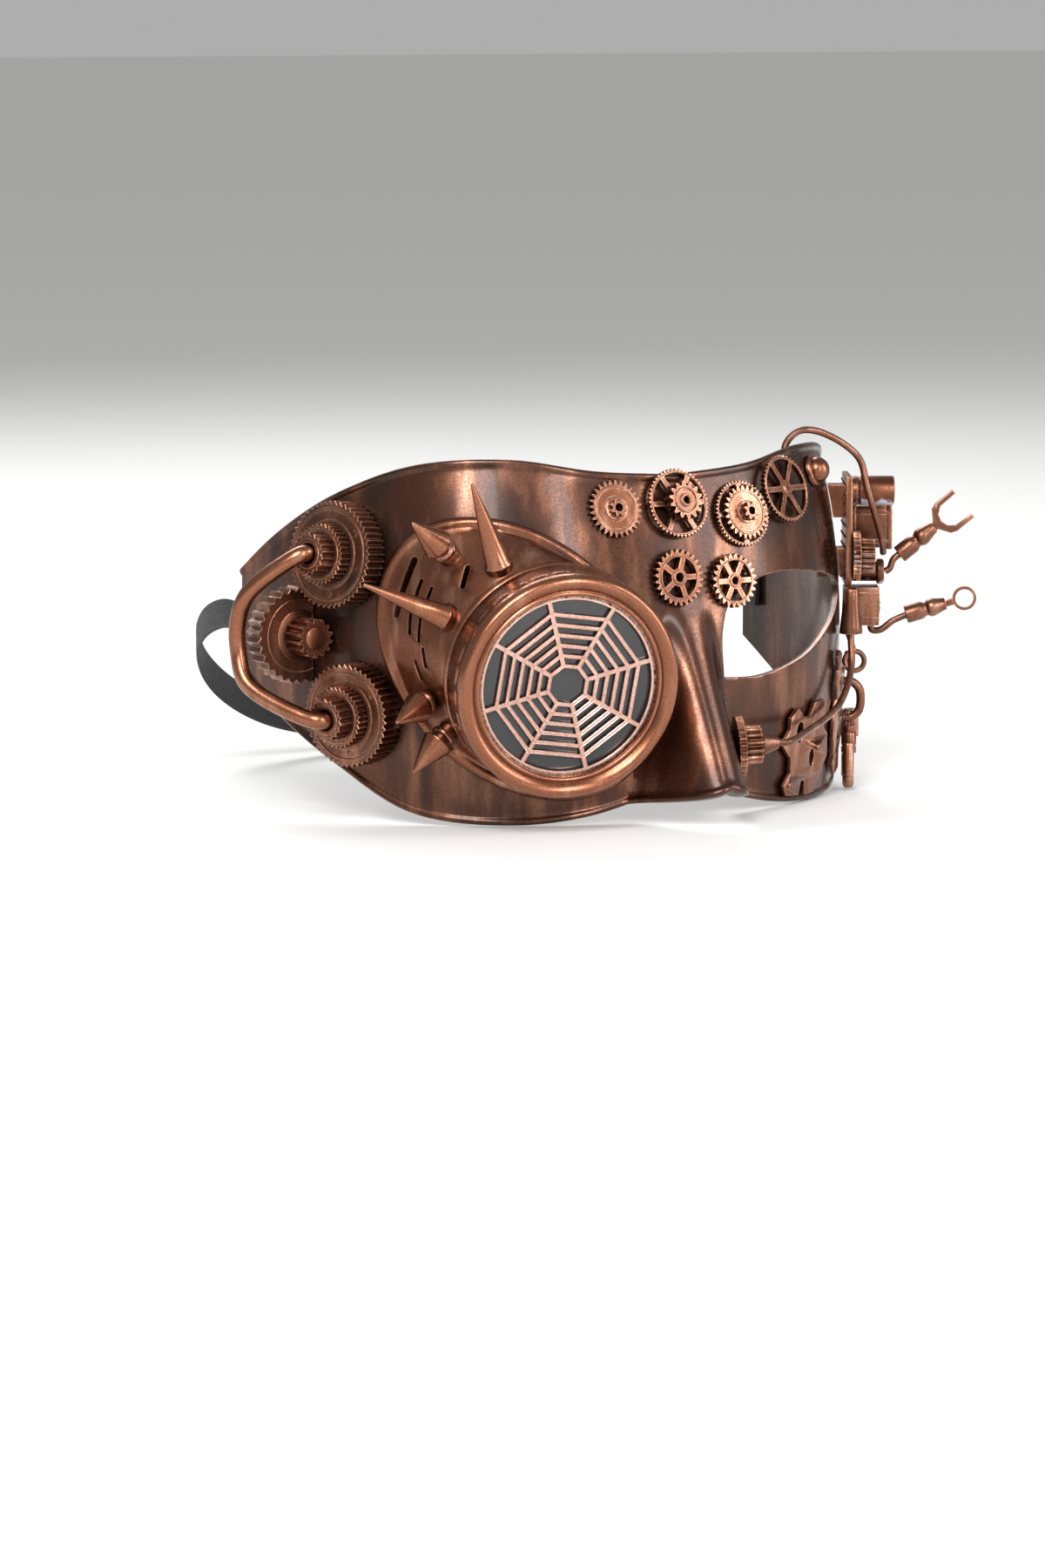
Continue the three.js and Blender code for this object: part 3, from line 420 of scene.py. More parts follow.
def maths(tree, operation, first, second=None, clamp=False):
    node = tree.nodes.new("ShaderNodeMath")
    node.operation = operation
    node.use_clamp = clamp
    for socket, value in zip(node.inputs, (first, second)):
        if isinstance(value, (int, float)):
            socket.default_value = value
        elif value is not None:
            link(tree, value, socket)
    return node.outputs[0]


def noise(tree, vector, scale, detail=3, stretch=None, distortion=0):
    """A cloud of values, stretched along an axis where stretch says so."""
    node = tree.nodes.new("ShaderNodeTexNoise")
    node.inputs["Detail"].default_value = detail
    node.inputs["Distortion"].default_value = distortion
    if isinstance(scale, (int, float)):
        node.inputs["Scale"].default_value = scale
    else:
        link(tree, scale, node.inputs["Scale"])
    if stretch:
        mapping = tree.nodes.new("ShaderNodeMapping")
        mapping.inputs["Scale"].default_value = stretch
        link(tree, vector, mapping.inputs["Vector"])
        vector = mapping.outputs["Vector"]
    link(tree, vector, node.inputs["Vector"])
    return node.outputs["Fac"]


def ranged(tree, value, low, high, to_low=0, to_high=1):
    node = tree.nodes.new("ShaderNodeMapRange")
    for name, given in (("From Min", low), ("From Max", high), ("To Min", to_low), ("To Max", to_high)):
        if isinstance(given, (int, float)):
            node.inputs[name].default_value = given
        else:
            link(tree, given, node.inputs[name])
    link(tree, value, node.inputs["Value"])
    return node.outputs["Result"]


def mixed(tree, share, first, second):
    node = tree.nodes.new("ShaderNodeMix")
    node.data_type = "RGBA"
    link(tree, share, node.inputs[0])
    for socket, value in ((node.inputs[6], first), (node.inputs[7], second)):
        if isinstance(value, tuple):
            socket.default_value = value
        else:
            link(tree, value, socket)
    return node.outputs[2]


def edge_wear_highlight_shade_group():
    """First output: convex edges, rubbed bright and broken up by a fine cloud, partly wear and partly a
    painted highlight. Second output: painted shade in corners and recesses, from ambient occlusion.
    """
    group = bpy.data.node_groups.new("edge_wear_highlight_shade", "ShaderNodeTree")
    given, out = sockets(
        group,
        {"Radius": 0.0006, "Break Up": 900.0, "Reach": 0.25, "Shade Reach": 0.0016},
        {"Wear And Highlight": "NodeSocketFloat", "Hollow Shade": "NodeSocketFloat"},
    )
    bevelled = group.nodes.new("ShaderNodeBevel")
    bevelled.samples = 4
    link(group, given["Radius"], bevelled.inputs["Radius"])
    flat = group.nodes.new("ShaderNodeNewGeometry")
    dot = group.nodes.new("ShaderNodeVectorMath")
    dot.operation = "DOT_PRODUCT"
    link(group, bevelled.outputs["Normal"], dot.inputs[0])
    link(group, flat.outputs["Normal"], dot.inputs[1])
    away = maths(group, "SUBTRACT", 1, dot.outputs["Value"])
    at = group.nodes.new("ShaderNodeTexCoord").outputs["Object"]
    cloud = noise(group, at, given["Break Up"], 2)
    edge = ranged(group, away, 0, given["Reach"])
    convex = ranged(group, flat.outputs["Pointiness"], 0.49, 0.53)
    # Painted shade: ambient occlusion marks the corners and recesses that light reaches least.
    shade = group.nodes.new("ShaderNodeAmbientOcclusion")
    shade.samples = 6
    link(group, given["Shade Reach"], shade.inputs["Distance"])
    hollow = ranged(group, shade.outputs["AO"], 0.82, 0.3)
    broken = ranged(group, cloud, 0.3, 0.62, 0.35, 1)
    # Painted highlight, partly real wear: convex edges are marked to be brightened.
    wear_and_highlight = maths(group, "MULTIPLY", maths(group, "MULTIPLY", edge, broken), convex, clamp=True)
    link(group, wear_and_highlight, out["Wear And Highlight"])
    link(group, maths(group, "MULTIPLY", hollow, 1, clamp=True), out["Hollow Shade"])
    return group


def rubbed_copper_group():
    """Copper paint rubbed by hand over a dark coat: cloudy patches, short streaks and fine speckle, with
    painted highlights on the streaks and edges and painted shade in the recesses.
    """
    group = bpy.data.node_groups.new("rubbed_copper", "ShaderNodeTree")
    given, out = sockets(
        group,
        {
            "Dark": (0.03, 0.014, 0.01, 1), "Copper": (0.4, 0.16, 0.08, 1), "Bright": (0.75, 0.42, 0.27, 1),
            "Patch Scale": 28.0, "Cover": 0.5, "Speckle": 0.35, "Polish": 0.28, "Shade Reach": 0.0016,
        },
        {
            "Color": "NodeSocketColor", "Roughness": "NodeSocketFloat", "Metallic": "NodeSocketFloat",
            "Height": "NodeSocketFloat",
        },
    )
    at = group.nodes.new("ShaderNodeTexCoord").outputs["Object"]
    patches = noise(group, at, given["Patch Scale"], 6, distortion=0.6)
    streaks = noise(group, at, 160, 4, stretch=(1, 1, 0.18))
    grain = noise(group, at, 1900, 2)
    cloudy = maths(group, "MULTIPLY", patches, 0.62)
    together = maths(group, "ADD", cloudy, maths(group, "MULTIPLY", streaks, 0.38))
    low = maths(group, "SUBTRACT", 0.72, maths(group, "MULTIPLY", given["Cover"], 0.5))
    rubbed = ranged(group, together, maths(group, "SUBTRACT", low, 0.16), maths(group, "ADD", low, 0.1))
    speck = maths(group, "MULTIPLY", ranged(group, grain, 0.52, 0.7), given["Speckle"])
    base = mixed(group, rubbed, given["Dark"], given["Copper"])
    # Painted highlight, partly the brushed copper itself: upright streaks in the rubbed copper are
    # brightened.
    streak_highlight = maths(group, "MULTIPLY", ranged(group, streaks, 0.5, 0.75), maths(group, "MULTIPLY", rubbed, 0.55))
    paint = mixed(group, streak_highlight, base, given["Bright"])
    dust = mixed(group, speck, paint, given["Dark"])
    edges = group.nodes.new("ShaderNodeGroup")
    edges.node_tree = bpy.data.node_groups["edge_wear_highlight_shade"]
    edges.inputs["Radius"].default_value = 0.0005
    edges.inputs["Break Up"].default_value = 900
    edges.inputs["Reach"].default_value = 0.16
    link(group, given["Shade Reach"], edges.inputs["Shade Reach"])
    # Painted shade: recesses are darkened toward the dark coat.
    hollow_shaded = mixed(group, maths(group, "MULTIPLY", edges.outputs["Hollow Shade"], 0.92), dust, given["Dark"])
    # Painted highlight, partly real wear: convex edges are brightened.
    final = mixed(group, edges.outputs["Wear And Highlight"], hollow_shaded, given["Bright"])
    link(group, final, out["Color"])
    matt = ranged(group, grain, 0.3, 0.7, -0.05, 0.1)
    rough = maths(group, "ADD", ranged(group, rubbed, 0, 1, 0.1, 0), matt)
    link(group, maths(group, "ADD", given["Polish"], rough, clamp=True), out["Roughness"])
    copper_laid = maths(group, "MAXIMUM", rubbed, edges.outputs["Wear And Highlight"])
    link(group, ranged(group, copper_laid, 0, 1, 0.62, 1), out["Metallic"])
    bumps = maths(group, "MULTIPLY", grain, 0.5)
    link(group, maths(group, "ADD", bumps, maths(group, "MULTIPLY", streaks, 0.5)), out["Height"])
    return group


edge_wear_highlight_shade_group()
RUBBED = rubbed_copper_group()


def rubbed_finish(name, dark, copper, bright, patch, cover, speckle, polish, reach=0.0016):
    """A paint job: the rubbed copper group with its own values, and the bump of its grain; reach sets how far
    its painted shade goes.
    """
    made, tree, shader = new_material(name)
    paint = tree.nodes.new("ShaderNodeGroup")
    paint.node_tree = RUBBED
    for socket, value in zip(paint.inputs, (dark, copper, bright, patch, cover, speckle, polish, reach)):
        socket.default_value = value
    for name_out, name_in in (("Color", "Base Color"), ("Roughness", "Roughness"), ("Metallic", "Metallic")):
        link(tree, paint.outputs[name_out], shader.inputs[name_in])
    bump = tree.nodes.new("ShaderNodeBump")
    bump.inputs["Distance"].default_value = 0.00003
    link(tree, paint.outputs["Height"], bump.inputs["Height"])
    link(tree, bump.outputs["Normal"], shader.inputs["Normal"])
    shader.inputs["Coat Weight"].default_value = 0.25
    shader.inputs["Coat Roughness"].default_value = 0.12
    return made


EYE_CUT_FRONT, EYE_CUT_BACK = -40, 90
shell_paint = rubbed_finish(
    "rubbed_shell_paint", (0.009, 0.005, 0.004, 1), (0.12, 0.044, 0.024, 1), (0.36, 0.17, 0.1, 1), 30, 0.42,
    0.35, 0.24,
)
shell = wall_mesh("moulded_shell", 0, -SHELL_WALL, 241, 74)
eye_ring = through([(x, z, 0) for x, z in [*EYE_OUTLINE, EYE_OUTLINE[0]]], 121)[:-1]
eye_rings = [[(p.x, y, p.y) for p in eye_ring] for y in (EYE_CUT_FRONT, EYE_CUT_BACK)]
eye_cutter = make_mesh("eye_cutter", *sweep(eye_rings))
goggle_face = Vector((-46, -15, -7))
GOGGLE_TURN, GOGGLE_TILT = math.radians(14), math.radians(8)
goggle_axis = Vector((
    -math.sin(GOGGLE_TURN) * math.cos(GOGGLE_TILT),
    -math.cos(GOGGLE_TURN) * math.cos(GOGGLE_TILT),
    -math.sin(GOGGLE_TILT),
))
PEEP_RADIUS = 19


def placed(points, position, direction, near_up=(0, 0, 1)):
    """Points drawn along +Z, moved so that +Z runs along a direction and +Y lies near up."""
    z = Vector(direction).normalized()
    x = Vector(near_up).cross(z).normalized()
    turn = Matrix((x, z.cross(x), z)).transposed()
    return [turn @ Vector(p) + Vector(position) for p in points]


def turned_profile(profile, sides):
    """Points and faces of a profile of (radius, height) spun round Z, closed where it meets the axis."""
    rings = []
    for i in range(sides):
        a = 2 * math.pi * i / sides
        rings.append([(r * math.cos(a), r * math.sin(a), z) for r, z in profile])
    on_axis = profile[0][0] == 0 and profile[-1][0] == 0
    points, faces = sweep(rings, closed=True)
    if on_axis:
        count = len(profile)
        faces = []
        for i in range(sides):
            here, ahead = i * count, (i + 1) % sides * count
            faces += [(here + j, ahead + j, ahead + j + 1, here + j + 1) for j in range(count - 1)]
    return points, faces


peep_points, peep_faces = turned_profile([(0, -70), (PEEP_RADIUS, -70), (PEEP_RADIUS, 10), (0, 10)], 64)
peep_cutter = make_mesh("peep_cutter", placed(peep_points, goggle_face, goggle_axis), peep_faces)
cut_out(shell, eye_cutter, peep_cutter)
settle(round_edges(shell, 0.35, 2, 50), shell_paint, "shell_copper", "mask_shell")


# The goggle's front: a screw-on bezel in smooth satin copper, a rose-copper web grille and a smoked lens.
# The bezel is turned with a rounded lip and a groove at its foot, and has short worn dashes round its band.
BEZEL_RADIUS, BEZEL_DEPTH, WINDOW_RADIUS, BEZEL_LIP = 30, 14, 24.3, 2.5
NECK_RADIUS, NECK_WALL, THREAD_CLEARANCE, THREAD_PITCH = 27.1, 2.6, 0.3, 2.5
GRILLE_THICKNESS, LENS_THICKNESS, FLANGE_THICKNESS = 1, 2, 1.6
BORE_RADIUS = NECK_RADIUS + THREAD_CLEARANCE
GRILLE_BACK = -BEZEL_LIP - GAP - GRILLE_THICKNESS
LENS_BACK = GRILLE_BACK - GAP - LENS_THICKNESS
NECK_FRONT = LENS_BACK - GAP
FLANGE_FRONT = -BEZEL_DEPTH - GAP
FLANGE_BACK = FLANGE_FRONT - FLANGE_THICKNESS
satin_copper = rubbed_finish(
    "satin_copper", (0.04, 0.016, 0.01, 1), (0.28, 0.105, 0.054, 1), (0.58, 0.3, 0.19, 1), 34, 0.85, 0.25,
    0.27,
)
gear_copper = rubbed_finish(
    "antique_gear_copper", (0.014, 0.007, 0.005, 1), (0.22, 0.082, 0.042, 1), (0.75, 0.42, 0.29, 1), 70,
    0.72, 0.4, 0.3,
)


def lathe_piece(name, profile, sides, position, direction, near_up=(0, 0, 1)):
    points, faces = turned_profile(profile, sides)
    return make_mesh(name, placed(points, position, direction, near_up), faces)


def on_goggle(points):
    return placed(points, goggle_face, goggle_axis)


def bezel_mesh():
    lip = [
        (WINDOW_RADIUS, -BEZEL_LIP), (WINDOW_RADIUS, -1.6), (24.5, -1.25), (24.9, -1.1), (25.3, -1.2),
        (25.45, -1.45), (25.7, -1.5), (26.0, -1.2), (26.5, -0.7), (27.1, -0.28), (27.8, -0.05),
        (28.5, -0.12), (29.1, -0.45), (29.55, -1.0),
        (29.85, -1.8), (30, -2.8),
    ]
    dashes = [(30, -3.9), (30, -4.1), (30, -4.6), (30, -4.8)]
    foot = [(30, -6), (30, -9), (30, -12.2), (29.75, -12.5), (29.65, -12.9), (29.95, -13.2), (29.8, -13.9)]
    bore = [(BORE_RADIUS, -BEZEL_DEPTH), (BORE_RADIUS, -BEZEL_LIP)]
    profile = lip + dashes + foot + bore
    sides, dash_sides = 320, 10
    rings = []
    for i in range(sides):
        a = 2 * math.pi * i / sides
        ring = []
        for k, (r, z) in enumerate(profile):
            in_dash = k - len(lip) in (1, 2) and 2 <= i % dash_sides <= 7
            r -= 0.22 if in_dash else 0
            ring.append((r * math.cos(a), r * math.sin(a), z))
        rings.append(ring)
    points, faces = sweep(rings, closed=True)
    return make_mesh("screw_bezel", on_goggle(points), faces)


settle(finish_mesh(bezel_mesh(), 50), satin_copper, "antique_copper", "bezel_ring", body="bezel")


def nodes_tree(name, inputs):
    """A Geometry Nodes tree with named inputs; returns the tree, its inputs and its output socket."""
    tree = bpy.data.node_groups.new(name, "GeometryNodeTree")
    tree.interface.new_socket("Geometry", in_out="INPUT", socket_type="NodeSocketGeometry")
    for key, value in inputs.items():
        kind = "NodeSocketInt" if isinstance(value, int) else "NodeSocketFloat"
        tree.interface.new_socket(key, in_out="INPUT", socket_type=kind).default_value = value
    tree.interface.new_socket("Finish", in_out="INPUT", socket_type="NodeSocketMaterial")
    tree.interface.new_socket("Geometry", in_out="OUTPUT", socket_type="NodeSocketGeometry")
    given = tree.nodes.new("NodeGroupInput").outputs
    realise = tree.nodes.new("GeometryNodeRealizeInstances")
    paint = tree.nodes.new("GeometryNodeSetMaterial")
    last = tree.nodes.new("NodeGroupOutput")
    link(tree, realise.outputs[0], paint.inputs["Geometry"])
    link(tree, given["Finish"], paint.inputs["Material"])
    link(tree, paint.outputs[0], last.inputs[0])
    return tree, given, realise.inputs[0]


def node(tree, kind, settings=None, **inputs):
    """A node of a tree, with its settings, and its inputs linked or set by name."""
    made = tree.nodes.new(kind)
    for key, value in (settings or {}).items():
        setattr(made, key, value)
    for key, value in inputs.items():
        socket = made.inputs[key.replace("_", " ")]
        if isinstance(value, bpy.types.NodeSocket):
            link(tree, value, socket)
        else:
            socket.default_value = value
    return made


def vector(tree, x=0.0, y=0.0, z=0.0):
    """A vector of numbers, outputs or both."""
    return node(tree, "ShaderNodeCombineXYZ", X=x, Y=y, Z=z).outputs[0]


def scaled(tree, value, amount):
    """A vector times an amount."""
    made = tree.nodes.new("ShaderNodeVectorMath")
    made.operation = "SCALE"
    link(tree, value, made.inputs[0])
    link(tree, amount, made.inputs["Scale"])
    return made.outputs[0]


def moved_to(tree, shape, places):
    return node(tree, "GeometryNodeSetPosition", Geometry=shape, Position=places).outputs[0]


def repeated(tree, curve, amount):
    """Copies of a curve, and the number of each copy."""
    by_curve = {"domain": "SPLINE"}
    copies = node(tree, "GeometryNodeDuplicateElements", by_curve, Geometry=curve, Amount=amount)
    return copies.outputs["Geometry"], copies.outputs["Duplicate Index"]


def run_tree(tree, values, finish):
    """Points and faces that a tree makes with some values for its named inputs."""
    carrier = bpy.data.objects.new(tree.name, bpy.data.meshes.new(tree.name))
    scene.collection.objects.link(carrier)
    modifier = carrier.modifiers.new(tree.name, "NODES")
    modifier.node_group = tree
    wanted = {**values, "Finish": finish}
    for item in tree.interface.items_tree:
        if item.in_out == "INPUT" and item.name in wanted:
            modifier[item.identifier] = wanted[item.name]
    carrier.update_tag()
    evaluated = carrier.evaluated_get(bpy.context.evaluated_depsgraph_get())
    mesh = bpy.data.meshes.new_from_object(evaluated)
    points = [tuple(v.co) for v in mesh.vertices]
    faces = [tuple(f.vertices) for f in mesh.polygons]
    bpy.data.objects.remove(carrier)
    bpy.data.meshes.remove(mesh)
    return points, faces


def web_tree():
    """A spider's web of flat bars with raised edges: rungs round a hub, spokes across them, and a rim."""
    tree, given, end = nodes_tree("spider_web", {
        "Spokes": 8, "Rungs": 6, "First Rung": 5.52, "Rung Pitch": 2.88, "Rim": 23.6, "Half Bar": 0.42,
        "First Spoke": 0.26,
    })
    joined = tree.nodes.new("GeometryNodeJoinGeometry")

    def swept(curve, width, height):
        section = node(tree, "GeometryNodeCurvePrimitiveQuadrilateral", Width=width, Height=height)
        bar = node(
            tree, "GeometryNodeCurveToMesh", Curve=curve, Profile_Curve=section.outputs[0], Fill_Caps=True,
        )
        link(tree, bar.outputs[0], joined.inputs[0])

    position = tree.nodes.new("GeometryNodeInputPosition").outputs[0]
    for side, width, height in ((0, 0.9, 0.55), (-1, 0.28, 0.9), (1, 0.28, 0.9)):
        rung = node(tree, "GeometryNodeCurvePrimitiveCircle", Resolution=given["Spokes"], Radius=1.0)
        rungs, number = repeated(tree, rung.outputs[0], given["Rungs"])
        step = maths(tree, "ADD", maths(tree, "MULTIPLY", number, given["Rung Pitch"]), given["First Rung"])
        reach = maths(tree, "ADD", step, maths(tree, "MULTIPLY", given["Half Bar"], side))
        swept(moved_to(tree, rungs, scaled(tree, position, reach)), width, height)
    spoke_edge = 0.45
    for side, width, height in ((0, 0.9, 0.62), (-1, 0.28, 0.98), (1, 0.28, 0.98)):
        start = vector(tree, given["First Rung"], side * spoke_edge)
        stop = vector(tree, given["Rim"], side * spoke_edge)
        spoke = node(tree, "GeometryNodeCurvePrimitiveLine", Start=start, End=stop)
        spokes, number = repeated(tree, spoke.outputs[0], given["Spokes"])
        share = maths(tree, "DIVIDE", number, given["Spokes"])
        angle = maths(tree, "MULTIPLY", share, 2 * math.pi)
        about_z = {"rotation_type": "Z_AXIS"}
        turn = node(tree, "ShaderNodeVectorRotate", about_z, Vector=position, Angle=angle)
        swept(moved_to(tree, spokes, turn.outputs[0]), width, height)
    rim = node(tree, "GeometryNodeCurvePrimitiveCircle", Resolution=160, Radius=given["Rim"])
    swept(rim.outputs[0], 1.3, 1.0)
    facing = vector(tree, z=given["First Spoke"])
    turned = node(tree, "GeometryNodeTransform", Geometry=joined.outputs[0], Rotation=facing)
    link(tree, turned.outputs[0], end)
    return tree


rose_copper = rubbed_finish(
    "rose_grille_copper", (0.16, 0.075, 0.05, 1), (0.6, 0.33, 0.25, 1), (0.88, 0.62, 0.53, 1), 60, 0.85,
    0.25, 0.24,
)
web_points, web_faces = run_tree(web_tree(), {"First Spoke": math.radians(15)}, rose_copper)
web_middle = GRILLE_BACK + GRILLE_THICKNESS / 2
web = make_mesh("spider_web_grille", on_goggle([(x, y, z + web_middle) for x, y, z in web_points]), web_faces)
seat_points, seat_faces = turned_profile([
    (23.4, GRILLE_BACK), (BORE_RADIUS - GAP, GRILLE_BACK),
    (BORE_RADIUS - GAP, GRILLE_BACK + GRILLE_THICKNESS),
    (23.4, GRILLE_BACK + GRILLE_THICKNESS),
], 160)
web_seat = make_mesh("web_seat", on_goggle(seat_points), seat_faces)


def joined_piece(name, *pieces):
    """Several made pieces as one mesh object."""
    work = bmesh.new()
    for made in pieces:
        work.from_mesh(made.data)
    mesh = bpy.data.meshes.new(name)
    work.to_mesh(mesh)
    work.free()
    for made in pieces:
        bpy.data.objects.remove(made)
    whole = bpy.data.objects.new(name, mesh)
    scene.collection.objects.link(whole)
    return whole


web = joined_piece("web_grille_bars", web, web_seat)
settle(round_edges(web, 0.08, 1, 40), rose_copper, "rose_copper", "web_grille", body="lens_stack")


def smoked_plastic():
    """Clear plastic tinted grey, polished, with faint wiping marks in its gloss."""
    made, tree, shader = new_material("smoked_clear_plastic")
    at = tree.nodes.new("ShaderNodeTexCoord").outputs["Object"]
    smears = noise(tree, at, 60, 4, stretch=(1, 1, 0.25))
    link(tree, ranged(tree, smears, 0.35, 0.7, 0.04, 0.13), shader.inputs["Roughness"])
    tint = mixed(tree, ranged(tree, smears, 0.3, 0.7), (0.016, 0.016, 0.018, 1), (0.028, 0.028, 0.03, 1))
    link(tree, tint, shader.inputs["Base Color"])
    shader.inputs["Transmission Weight"].default_value = 0.12
    shader.inputs["IOR"].default_value = 1.49
    shader.inputs["Coat Weight"].default_value = 0.4
    shader.inputs["Coat Roughness"].default_value = 0.03
    return made


lens_front = LENS_BACK + LENS_THICKNESS
lens = lathe_piece("smoked_lens_disc", [
    (0, LENS_BACK), (26.6, LENS_BACK), (26.95, LENS_BACK + 0.25), (27.1, LENS_BACK + 0.6),
    (27.1, lens_front - 0.6),
    (26.95, lens_front - 0.25), (26.6, lens_front - 0.1), (18, lens_front - 0.05), (0, lens_front),
], 128, goggle_face, goggle_axis)
settle(finish_mesh(lens), smoked_plastic(), "smoked_lens", "smoked_lens", body="lens_stack")


# The neck that the bezel screws on: a moulded tube with a coarse thread and a flange at its back.
# Only its flange shows while the bezel is down.
def neck_mesh():
    inside = NECK_RADIUS - NECK_WALL
    rows = np.linspace(NECK_FRONT - 0.5, FLANGE_FRONT + 0.6, 42)
    rings = []
    for i in range(144):
        a = 2 * math.pi * i / 144
        profile = [(inside, FLANGE_BACK), (BEZEL_RADIUS - 0.5, FLANGE_BACK),
            (BEZEL_RADIUS - 0.05, FLANGE_BACK + 0.4),
                   (BEZEL_RADIUS - 0.05, FLANGE_FRONT - 0.5), (BEZEL_RADIUS - 0.4, FLANGE_FRONT),
                   (NECK_RADIUS - 0.9, FLANGE_FRONT)]
        for z in reversed(rows):
            ridge = 0.5 + 0.5 * math.sin(2 * math.pi * z / THREAD_PITCH - a)
            profile.append((NECK_RADIUS - 0.9 + 0.85 * ridge**0.7, z))
        profile += [(NECK_RADIUS - 0.7, NECK_FRONT), (inside, NECK_FRONT)]
        rings.append([(r * math.cos(a), r * math.sin(a), z) for r, z in profile])
    points, faces = sweep(rings, closed=True)
    return make_mesh("threaded_neck", on_goggle(points), faces)


settle(finish_mesh(neck_mesh(), 50), satin_copper, "antique_copper", "goggle_neck")


# The cup: a thin moulded cone from an oval foot on the shell to the goggle's round neck.
# A rolled rim runs round its foot, and its outer side has rows of vent slots.
CUP_TURN, CUP_HALF_TURN, CUP_MIDDLE, CUP_SLANT, CUP_HALF_HEIGHT = -28.3, 20.6, -2, 12, 32
CUP_RIM, CUP_WALL = 3.4, 2.2
CUP_SLOTS = [
    (161, 0.2, 17, 2.2, 4), (158, 0.36, 8, 1.3, 8), (172, 0.38, 8, 1.3, 8), (157, 0.5, 8, 1.1, 8),
    (172, 0.52, 7, 1.1, 8), (133, 0.66, 7, 1.6, 40), (183, 0.62, 6, 1.1, 14), (193, 0.5, 6, 1.1, 20),
]


def cup_foot(angle, grow):
    a = math.radians(angle)
    turn = CUP_TURN + (CUP_HALF_TURN + grow * 0.6) * math.cos(a)
    return surface(turn, CUP_MIDDLE - CUP_SLANT * math.cos(a) + (CUP_HALF_HEIGHT + grow) * math.sin(a))


def cup_point(angle, share, out=0, height=0):
    """A point on the cup, by the angle round it and the share of the way to the neck."""
    a = math.radians(angle)
    foot = cup_foot(angle, 0)
    normal = outward(CUP_TURN + CUP_HALF_TURN * math.cos(a), foot.z)
    aside = (cup_foot(angle, 1) - foot).normalized()
    r = NECK_RADIUS + 1.2 + out
    front = on_goggle([(r * math.cos(a), r * math.sin(a), FLANGE_BACK - GAP)])[0]
    return (foot + aside * out + normal * height).lerp(front, share)


def cup_mesh(name, inset, wall):
    sides = 144
    rings = []
    for i in range(sides):
        angle = 360 * i / sides
        rim = [(0, -1.5), (0, 0.6), (-0.1, 1.5), (-0.45, 2.2), (-1.1, 2.7), (-2, 2.8), (-2.7, 2.5)]
        ring = [cup_point(angle, 0, CUP_RIM + out - inset, height) for out, height in rim]
        body = [(0.03, 0.3, 2.2), (0.1, 0.3, 2.2), (0.25, 0.5, 1.8), (0.4, 0.6, 1.4), (0.55, 0.6, 1),
            (0.75, 0.4, 0.5),
                (0.95, 0.1, 0.1), (1, -0.3, 0)]
        ring += [cup_point(angle, share, out - inset, height) for share, out, height in body]
        ring += [cup_point(angle, 1, -wall), cup_point(angle, 0, -wall, -1.5)]
        rings.append(ring)
    points, faces = sweep(rings, closed=True)
    return make_mesh(name, points, faces)


def slot_cutter(angle, share, length, width, lean):
    """A slot's cutter, with round ends, square to the cup's wall."""
    at = cup_point(angle, share)
    ahead = (cup_point(angle, share + 0.05) - at).normalized()
    beside_it = (cup_point(angle + 2, share) - at).normalized()
    along = ahead * math.sin(math.radians(lean)) + beside_it * math.cos(math.radians(lean))
    ends = []
    for side in (1, -1):
        for k in range(7):
            a = math.pi * k / 6
            reach = (length - width) / 2 + width / 2 * math.sin(a)
            ends.append((side * width / 2 * math.cos(a), side * reach))
    rings = [[(x, y, z) for x, y in ends] for z in (-4.5, 4.5)]
    points, faces = sweep(rings)
    return make_mesh("slot", placed(points, at, beside_it.cross(ahead), along), faces)


cup = cup_mesh("goggle_cup_shell", 0, CUP_WALL)
cut_out(cup, *[slot_cutter(*slot) for slot in CUP_SLOTS])
settle(round_edges(cup, 0.2, 2, 50), gear_copper, "antique_copper", "goggle_cup")


# Five hollow moulded spikes, glued on the cup's outer side: two long ones, and three short cones on collars.
# They are the smoothest pieces, and each has a thick foot ring.
def cone_profile(radius, length, blunt):
    foot = [(0.8, -2), (0.93, 0), (1, 0.4), (1, 0.9), (0.86, 1.5)]
    rest = [(0.62, 0.42), (0.45, 0.62), (0.28, 0.8)]
    tip = [(blunt, length - blunt), (blunt * 0.7, length - blunt * 0.3), (0, length)]
    return [(0, -2), *((radius * r, z) for r, z in foot), *((radius * r, length * z) for r, z in rest), *tip]


def long_spike(name, angle, share, direction, length):
    at = cup_point(angle, share, 0.6, 0.6)
    made = lathe_piece(name + "_cone", cone_profile(3.7, length, 0.45), 40, at, direction)
    settle(finish_mesh(made, 50), satin_copper, "antique_copper", name)


def short_spike(name, angle, share, direction, stem, length):
    at = cup_point(angle, share, 0.6, 0.6)
    collar = [(0, -2), (2.7, -2), (2.7, stem * 0.3), (3.2, stem * 0.34), (3.4, stem * 0.42),
        (3.4, stem * 0.56),
              (3.2, stem * 0.64), (2.7, stem * 0.7), (2.7, stem - GAP), (0, stem - GAP)]
    head = [(0, 0), (3.9, 0), (4.15, 0.2), (4.2, 0.5), (4.05, 0.8), (0.5, length - 0.5), (0.3, length - 0.15),
            (0, length)]
    tip = at + Vector(direction).normalized() * stem
    collar_piece = lathe_piece(name + "_stem", collar, 40, at, direction)
    settle(finish_mesh(collar_piece, 40), gear_copper, "antique_copper", name + "_collar")
    head_piece = lathe_piece(name + "_cone", head, 48, tip, direction)
    settle(finish_mesh(head_piece, 50), satin_copper, "antique_copper", name)


